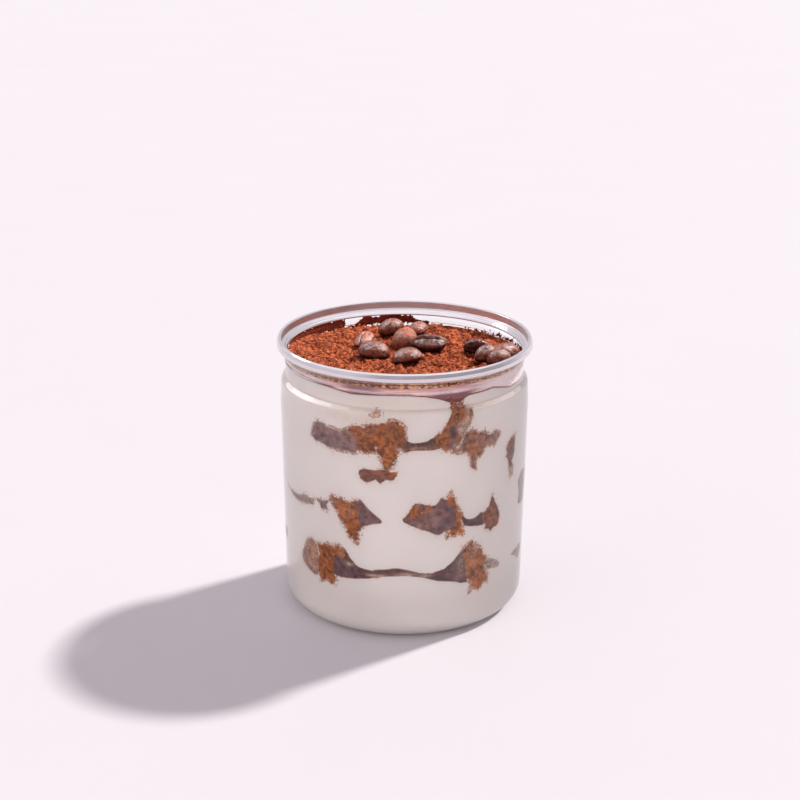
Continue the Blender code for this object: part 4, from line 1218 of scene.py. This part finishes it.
class TIRAMISU_OT_add_cream(bpy.types.Operator):
    """Add the cream, pressed on the wall up to the powder's edge"""

    bl_idname = "tiramisu.add_cream"
    bl_label = "Cream"

    columns: IntProperty(name="Columns", description="Cells round the cream", default=360, min=48)
    rows: IntProperty(name="Rows", description="Cells up the cream", default=190, min=40)

    def execute(self, context):
        settings = cup_settings(context)
        bm, across, up = bent_grid(self.columns, self.rows)
        degrees = across * 360.0 - 180.0
        wall = settings.jar.wall
        outline = filleted(jar_skin(wall - CREAM_REACH))
        corner = next(index for index, point in enumerate(outline) if point[0] > PUNT_EDGE_R)
        edge = cream_edge(degrees) + 0.12 * MM * rough(
            [at_angle(angle, NECK_R, 0.0) for angle in degrees], 3.0 * MM, 3, 2.0)
        floor_share, wall_share = 0.08, 0.93
        radii, heights = np.zeros(up.shape), np.zeros(up.shape)
        on_floor = up <= floor_share
        floor = np.array(outline[:corner + 1])
        steps = up[on_floor] / floor_share * corner
        radii[on_floor] = np.interp(steps, range(corner + 1), floor[:, 0])
        heights[on_floor] = np.interp(steps, range(corner + 1), floor[:, 1])
        side = np.array(outline[corner:])
        length = np.concatenate([[0.0], np.cumsum(np.hypot(*np.diff(side, axis=0).T))])
        on_side = (up > floor_share) & (up <= wall_share)
        share = (up[on_side] - floor_share) / (wall_share - floor_share)
        reach = length[-1] + edge[on_side] - side[-1, 1]
        radii[on_side] = np.interp(share * reach, length, side[:, 0])
        heights[on_side] = np.where(
            share * reach > length[-1], side[-1, 1] + share * reach - length[-1],
            np.interp(share * reach, length, side[:, 1]))
        on_top = up > wall_share
        share = (up[on_top] - wall_share) / (1.0 - wall_share)
        radii[on_top] = side[-1, 0] * (1.0 - share)
        flat = CREAM_LEVEL + CREAM_SLOPE * -radii[on_top] * np.cos(np.radians(degrees[on_top]))
        fade = smooth_step(0.0, EDGE_FADE, side[-1, 0] - radii[on_top])
        heights[on_top] = edge[on_top] + (flat - edge[on_top]) * fade
        stain, crumbs = np.zeros(up.shape), np.zeros(up.shape)
        for layer in LAYERS.values():
            for soaked, _dark, _filmed, ragged, patch in all_patches(layer):
                away = np.maximum(-inside_by(degrees, heights / MM, patch), 0.0)
                stain = np.maximum(stain, (0.2 + 0.25 * soaked) * np.exp(-away / 1.0))
                crumbs = np.maximum(crumbs, min(1.0, 2.2 * ragged) * np.exp(-away / 0.8))
        # Painted shade: a dark line along the groove, mixed in with the coffee stains
        groove = np.exp(-((heights - (GROOVE_Z - 0.2 * MM)) / (0.45 * MM)) ** 2)
        stain = np.maximum(stain * on_side, 0.75 * groove * on_side)
        # Tints from the table, partly coffee stains and partly painted shade
        for angle, height, half_angle, half_height, strength in CREAM_STAINS:
            away = (around(degrees - angle) / half_angle) ** 2 + ((heights / MM - height) / half_height) ** 2
            stain = np.maximum(stain, strength * np.exp(-away) * on_side)
        # Painted shade: the cream darkens towards the bottom, less on the left side
        turned = smooth_step(-48.0, -20.0, degrees) * smooth_step(170.0, 130.0, degrees)
        low = smooth_step(27.0 * MM, 10.0 * MM, heights) * (0.3 + 0.7 * turned)
        set_values(bm, stain=stain, crumbs=crumbs * on_side, low=low)
        place_round(bm, degrees, radii, heights)
        finish_piece(bm, "cream_fill", soft_cream(settings.cream), "cream", "cream")
        return {"FINISHED"}


class TIRAMISU_OT_add_sponge(bpy.types.Operator):
    """Add the three soaked sponge layers"""

    bl_idname = "tiramisu.add_sponge"
    bl_label = "Sponge layers"

    def execute(self, context):
        for name in LAYERS:
            make_sponge(name, cup_settings(context))
        return {"FINISHED"}


class TIRAMISU_OT_add_powder(bpy.types.Operator):
    """Add the cocoa powder on the cream"""

    bl_idname = "tiramisu.add_powder"
    bl_label = "Cocoa powder"

    columns: IntProperty(name="Columns", description="Cells round the powder", default=680, min=48)
    rings: IntProperty(name="Rings", description="Cells from the middle to the wall", default=144, min=12)

    def execute(self, context):
        settings = cup_settings(context)
        bm, across, up = bent_grid(self.columns, self.rings)
        degrees = across * 360.0 - 180.0
        top_share, wall_share = 0.86, 0.975
        wall = settings.jar.wall
        turns = np.radians(degrees)
        rim = cream_edge(degrees)
        rim_top = powder_rim(degrees)
        edge_r = wall_radius(rim_top, wall) + POWDER_REACH
        radii, heights = np.zeros(up.shape), np.zeros(up.shape)
        on_top = up <= top_share
        radii[on_top] = edge_r[on_top] * (up[on_top] / top_share) ** 0.85
        x, y = radii * np.sin(turns), -radii * np.cos(turns)
        cracks = np.zeros(up.shape)
        heights[on_top], cracks[on_top] = powder_height(x[on_top], y[on_top], settings)
        # Painted shade: the cracks and the beans' feet are darkened through the dark value
        cracks = np.maximum(1.15 * cracks, near_beans(x, y))
        near = smooth_step(0.0, RIM_FALL, radii - edge_r + RIM_FALL)
        heights = np.where(on_top, heights + (rim_top - heights) * near, heights)
        on_wall = (up > top_share) & (up <= wall_share)
        share = (up[on_wall] - top_share) / (wall_share - top_share)
        heights[on_wall] = rim_top[on_wall] + (rim[on_wall] - 0.25 * MM - rim_top[on_wall]) * share
        radii[on_wall] = wall_radius(heights[on_wall], wall) + POWDER_REACH
        below = up > wall_share
        share = (up[below] - wall_share) / (1.0 - wall_share)
        radii[below] = (NECK_R - wall) * (1.0 - share)
        heights[below] = rim[below] - (0.25 + 0.3 * share) * MM
        crumbly = (0.95 + 0.5 * smooth_step(-22.0, 0.0, degrees) * smooth_step(34.0, 12.0, degrees)) * MM
        golden = smooth_step(-crumbly, 0.3 * MM - crumbly, heights - rim_top) * (up > top_share - 0.012)
        tip = 1.6 * MM * smooth_step(18.0, 22.0, degrees) * smooth_step(29.0, 26.0, degrees)
        line = 0.9 * smooth_step(-0.55 * MM, -0.2 * MM, rim + tip - heights) * on_wall
        funnel = smooth_step(6.0, 16.0, degrees) * smooth_step(38.0, 30.0, degrees)
        left = smooth_step(-68.0, -60.0, degrees) * smooth_step(-30.0, -44.0, degrees)
        right = smooth_step(36.0, 60.0, degrees)
        smear = smooth_step(-32.0, -24.0, degrees) * smooth_step(-8.0, -16.0, degrees)
        bruised = 0.9 * funnel * smooth_step(87.3 * MM, 86.3 * MM, heights) + 0.12 * left + 0.06 * right + 0.6 * smear
        # Painted highlight: a pale line of light along the jar's ridge, a glassy pale stretch on the left, and lighter
        # sides of the band
        gleam = np.exp(-((heights - RIDGE_Z) / (0.22 * MM)) ** 2)
        gleam = np.maximum(gleam, smooth_step(-62.0, -70.0, degrees) * smooth_step(-115.0, -105.0, degrees))
        gleam = np.maximum(gleam, 0.85 * smooth_step(28.0, 50.0, np.abs(degrees)))
        under = heights - rim_top + crumbly
        line = np.maximum(line, 0.55 * np.exp(-((under + 0.2 * MM) / (0.16 * MM)) ** 2) * on_wall
                          * smooth_step(-66.0, -58.0, degrees) * smooth_step(120.0, 90.0, degrees))
        dark = np.where(on_top, cracks, line)
        front = smooth_step(-0.2, 0.5, np.cos(turns))
        pressed = (up > top_share) * (1.0 - golden) * (1.0 - line)
        set_values(
            bm, pressed=pressed, dark=dark, golden=golden * front, bruised=np.clip(bruised, 0.0, 1.0) * on_wall,
            gleam=0.8 * gleam * on_wall)
        place_round(bm, degrees, radii, heights)
        finish_piece(bm, "cocoa_powder", shared_finish("cocoa_grains", dry_cocoa, settings.powder), "cocoa", "cocoa")
        return {"FINISHED"}


def powder_rim(degrees):
    """Height of the powder's edge on the wall."""
    angles, heights = zip(*POWDER_EDGE)
    points = [at_angle(angle, NECK_R, 0.0) for angle in degrees]
    return np.interp(degrees, angles, heights, period=360.0) * MM + 0.25 * MM * rough(points, 2.0 * MM, 3, 4.0)


def near_beans(x, y):
    """Painted contact shadow at the foot of each bean: how close each point is to it, most of all at its shaded side.
    """
    close = np.zeros(x.shape)
    for bean_x, bean_y, length, width, _thick, _roll, _pitch, yaw, _sunk in BEANS:
        away_x, away_y = x / MM - bean_x + 0.35, y / MM - bean_y + 0.45
        turn = math.radians(yaw)
        along = away_x * math.cos(turn) + away_y * math.sin(turn)
        across = away_y * math.cos(turn) - away_x * math.sin(turn)
        outside = np.hypot(along / (0.47 * length), across / (0.47 * width)) - 1.0
        close = np.maximum(close, 0.9 * smooth_step(0.22, 0.02, outside))
    return close


def clod_domes(points, size, seed):
    """Rounded clods side by side: 1 at the top of each and 0 in the cracks between them."""
    shift = Vector((seed * 3.7, seed * 1.9, seed))
    away = np.array([noise.voronoi(Vector(point) / size + shift)[0][:2] for point in points])
    return np.clip((away[:, 1] - away[:, 0]) / 0.5, 0.0, 1.0) ** 0.6


def powder_height(x, y, settings):
    """Height of the powder's top with its clods and grains, and how deep in a crack each point is."""
    points = np.stack([x, y, np.zeros(x.shape)], 1)
    warp = np.stack([rough(points, 2.0 * MM, 2, 7.0), rough(points, 2.0 * MM, 2, 8.0), np.zeros(x.shape)], 1)
    bent = points + 0.8 * MM * warp
    lumps = rough(points, 6.0 * MM, 2, 1.0)
    clods = clod_domes(bent, 3.3 * MM, 1.0) - 0.75
    small = clod_domes(bent, 1.5 * MM, 2.0) - 0.75
    grains = rough(points, 0.8 * MM, 2, 3.0)
    broken = smooth_step(-0.3, 0.3, rough(points, 9.0 * MM, 2, 6.0) + 12.0 * (x - 0.3 * y + 0.01))
    relief = 0.4 * lumps + (0.2 + 0.3 * broken) * clods + (0.26 + 0.14 * broken) * small + 0.24 * grains
    cracks = 0.85 * (0.6 * smooth_step(0.0, -0.5, clods) + 0.55 * smooth_step(-0.05, -0.5, small))
    return powder_level(x, y) + settings.powder.lumps * relief, np.clip(cracks - 0.3 * grains, 0.0, 1.0)


class TIRAMISU_OT_add_beans(bpy.types.Operator):
    """Add the coffee beans on the powder"""

    bl_idname = "tiramisu.add_beans"
    bl_label = "Coffee beans"

    def execute(self, context):
        settings = cup_settings(context)
        finish = roasted_skin(settings.beans, settings.powder)
        for number, (bean, looks) in enumerate(zip(BEANS, BEAN_LOOKS), 1):
            bm = self.bean_body(number, bean, looks, settings.beans)
            finish_piece(bm, f"coffee_bean_{number:02d}", finish, "roasted_bean", f"bean_{number:02d}")
        return {"FINISHED"}

    def bean_body(self, number, bean, looks, settings):
        x, y, length, width, thick, roll, pitch, yaw, sunk = bean
        dusted, tan, wrinkled, gap = looks
        bm = bmesh.new()
        bmesh.ops.create_uvsphere(bm, u_segments=BEAN_SIDES, v_segments=BEAN_STEPS, radius=1.0)
        bmesh.ops.rotate(bm, matrix=Matrix.Rotation(math.pi / 2, 3, "Y"), verts=bm.verts)
        shape = []
        for vert in bm.verts:
            px, py, pz = vert.co
            depth = 0.0
            if pz < 0.0:
                girth = math.hypot(py, pz)
                share = math.atan2(abs(py), -pz) / (math.pi / 2)
                bend = 0.06 * math.sin(2.6 * px + number)
                py = math.copysign(girth * share ** BELLY_SPREAD, py) + bend * (1.0 - share) * girth
                pz = -girth * (1.0 - share ** BELLY_FLAT)
                depth = math.exp(-(share / gap) ** 2) * min(1.0, girth * 3.0)
                pz += CREASE_SHARE * girth * depth
                pz -= 0.16 * math.exp(-((share - 0.15 - gap) / 0.13) ** 2) * girth
            shape.append(depth)
            half = DOME_SHARE if pz > 0 else 1.0 - DOME_SHARE
            vert.co = (px * length / 2, py * width / 2, pz * thick * half)
        points = [vert.co / 1.0 for vert in bm.verts]
        stretch = [Vector((point.x * 0.45, point.y, point.z)) for point in points]
        folds = np.abs(rough(stretch, 1.1, 3, number)) - 0.25
        dents = rough(points, 4.0, 1, number + 20)
        push = -(settings.wrinkles / MM) * wrinkled * folds * 0.7 + 0.14 * dents
        bmesh.ops.recalc_face_normals(bm, faces=bm.faces)
        bm.normal_update()
        normals = [vert.normal.copy() for vert in bm.verts]
        for vert, normal, amount, depth in zip(bm.verts, normals, push, shape):
            vert.co += normal * float(amount) * (1.0 - depth)
        turn = Euler([math.radians(angle) for angle in (roll, pitch, yaw)]).to_matrix()
        bmesh.ops.rotate(bm, matrix=turn, verts=bm.verts)
        bmesh.ops.scale(bm, vec=(MM, MM, MM), verts=bm.verts)
        box_low, box_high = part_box(f"bean_{number:02d}")
        lowest = min(vert.co.z for vert in bm.verts)
        bmesh.ops.translate(bm, vec=(x * MM, y * MM, box_low.z - lowest), verts=bm.verts)
        bm.normal_update()
        up = np.array([vert.normal.z for vert in bm.verts])
        height = np.array([vert.co.z for vert in bm.verts])
        foot = 1.0 - smooth_step(box_low.z + sunk * MM, box_low.z + (sunk + 1.2) * MM, height)
        dust = dusted * (0.45 + 0.75 * smooth_step(-0.2, 0.8, up)) + 0.3 * foot
        # Painted shade: the downward-facing underside and the crease are darkened
        under = 0.9 * smooth_step(0.45, -0.35, up)
        edges = np.maximum(np.array(shape), under)
        set_values(bm, dusted=np.clip(dust, 0.0, 1.0), tan=np.full(dust.shape, tan), crease=edges * (1.0 - 0.5 * dusted))
        return bm


class TIRAMISU_OT_add_clods(bpy.types.Operator):
    """Scatter loose clods and crumbs over the powder"""

    bl_idname = "tiramisu.add_clods"
    bl_label = "Loose clods"

    def execute(self, context):
        settings = cup_settings(context)
        draw = random.Random(11)
        whole = bmesh.new()
        places = []
        while len(places) < settings.powder.clods:
            reach = (NECK_R - settings.jar.wall - 0.5 * MM) * math.sqrt(draw.random())
            turn = draw.uniform(0.0, math.tau)
            x, y = reach * math.cos(turn), reach * math.sin(turn)
            crowd = 0.5 + 0.5 * noise.noise(Vector((x, y, 0.3)) / (7.0 * MM))
            if draw.random() < crowd:
                places.append((x, y))
        tops, _cracks = powder_height(np.array([p[0] for p in places]), np.array([p[1] for p in places]), settings)
        for start in range(0, len(places), 100):
            part = bmesh.new()
            for (x, y), top in zip(places[start:start + 100], tops[start:start + 100]):
                size = MM * (0.14 + 0.42 * draw.random() ** 3.5)
                made = bmesh.ops.create_icosphere(part, subdivisions=1, radius=1.0)["verts"]
                squash = (size * draw.uniform(0.8, 1.3), size * draw.uniform(0.7, 1.1), size * draw.uniform(0.6, 0.95))
                for vert in made:
                    vert.co *= draw.uniform(0.78, 1.15)
                bmesh.ops.scale(part, vec=squash, verts=made)
                turn = Euler([draw.uniform(0.0, math.tau) for _ in range(3)]).to_matrix()
                bmesh.ops.rotate(part, matrix=turn, verts=made)
                bmesh.ops.translate(part, vec=(x, y, top + 0.25 * size), verts=made)
            holder = bpy.data.meshes.new("part")
            part.to_mesh(holder)
            part.free()
            whole.from_mesh(holder)
            bpy.data.meshes.remove(holder)
        set_values(whole, dark=np.full(len(whole.verts), 0.15))
        finish = shared_finish("cocoa_grains", dry_cocoa, settings.powder)
        finish_piece(whole, "cocoa_clods", finish, "cocoa")
        return {"FINISHED"}


class TIRAMISU_OT_add_wall_dust(bpy.types.Operator):
    """Add the powder that sticks to the inside of the wall"""

    bl_idname = "tiramisu.add_wall_dust"
    bl_label = "Dust on the wall"

    def execute(self, context):
        settings = cup_settings(context)
        bm, across, up = bent_grid(1000, 26)
        degrees = across * 360.0 - 180.0
        heights = (84.8 + 5.8 * up) * MM
        points = [at_angle(angle, NECK_R, height) for angle, height in zip(degrees, heights)]
        uneven = rough(points, 2.4 * MM, 2, 5.0) + 1.2 * rough(points, 0.8 * MM, 2, 6.0)
        shown = np.zeros(degrees.shape, bool)
        for ragged, spread, outline in WALL_DUST:
            shown |= inside_by(degrees, heights / MM, outline) + ragged * uneven + spread > 0.0
        keep = dict(zip(bm.verts, shown))
        lost = [face for face in bm.faces if not all(keep[vert] for vert in face.verts)]
        radii = wall_radius(heights, settings.jar.wall) + 0.03 * MM
        turns = np.radians(degrees)
        for vert, radius, turn, height in zip(bm.verts, radii, turns, heights):
            vert.co = (radius * math.sin(turn), -radius * math.cos(turn), height)
        bmesh.ops.delete(bm, geom=lost, context="FACES")
        bmesh.ops.remove_doubles(bm, verts=bm.verts, dist=SAME_POINT)
        bmesh.ops.recalc_face_normals(bm, faces=bm.faces)
        inner = bmesh.ops.extrude_face_region(bm, geom=bm.faces[:], use_keep_orig=True)["geom"]
        for vert in inner:
            if isinstance(vert, bmesh.types.BMVert):
                vert.co.xy *= 1.0 - 0.12 * MM / vert.co.xy.length
        bmesh.ops.recalc_face_normals(bm, faces=bm.faces)
        places = [vert.co.copy() for vert in bm.verts]
        set_values(bm, dark=np.clip(0.93 + 0.16 * rough(places, 0.5 * MM, 2, 9.0), 0.75, 1.0))
        finish = shared_finish("cocoa_grains", dry_cocoa, settings.powder)
        finish_piece(bm, "wall_dust", finish, "cocoa")
        return {"FINISHED"}


class TIRAMISU_PT_cup(bpy.types.Panel):
    """Every piece of the cup, in the order in which they are made"""

    bl_label = "Tiramisu Cup"
    bl_idname = "TIRAMISU_PT_cup"
    bl_space_type = "VIEW_3D"
    bl_region_type = "UI"
    bl_category = "Tiramisu"

    def draw(self, context):
        settings = cup_settings(context)
        for operator in OPERATORS:
            self.layout.operator(operator.bl_idname)
        for group in (settings.jar, settings.cream, settings.sponge, settings.powder, settings.beans, settings.stage):
            box = self.layout.box()
            for name in group.__annotations__:
                box.prop(group, name)


SETTINGS = (JarSettings, CreamSettings, SpongeSettings, PowderSettings, BeanSettings, StageSettings, TiramisuSettings)
OPERATORS = (
    TIRAMISU_OT_add_stage, TIRAMISU_OT_add_jar, TIRAMISU_OT_add_ring, TIRAMISU_OT_add_cream, TIRAMISU_OT_add_sponge,
    TIRAMISU_OT_add_powder, TIRAMISU_OT_add_clods, TIRAMISU_OT_add_wall_dust, TIRAMISU_OT_add_beans,
)


def register():
    for made in (*SETTINGS, *OPERATORS, TIRAMISU_PT_cup):
        bpy.utils.register_class(made)
    bpy.types.Scene.tiramisu_cup = PointerProperty(type=TiramisuSettings)


def unregister():
    del bpy.types.Scene.tiramisu_cup
    for made in reversed((*SETTINGS, *OPERATORS, TIRAMISU_PT_cup)):
        bpy.utils.unregister_class(made)


def main():
    register()
    bpy.context.scene.view_settings.view_transform = "Standard"
    bpy.ops.tiramisu.add_stage()
    bpy.ops.tiramisu.add_jar()
    bpy.ops.tiramisu.add_ring()
    bpy.ops.tiramisu.add_cream()
    bpy.ops.tiramisu.add_sponge()
    bpy.ops.tiramisu.add_powder()
    bpy.ops.tiramisu.add_clods()
    bpy.ops.tiramisu.add_wall_dust()
    bpy.ops.tiramisu.add_beans()


if __name__ == "__main__":
    main()
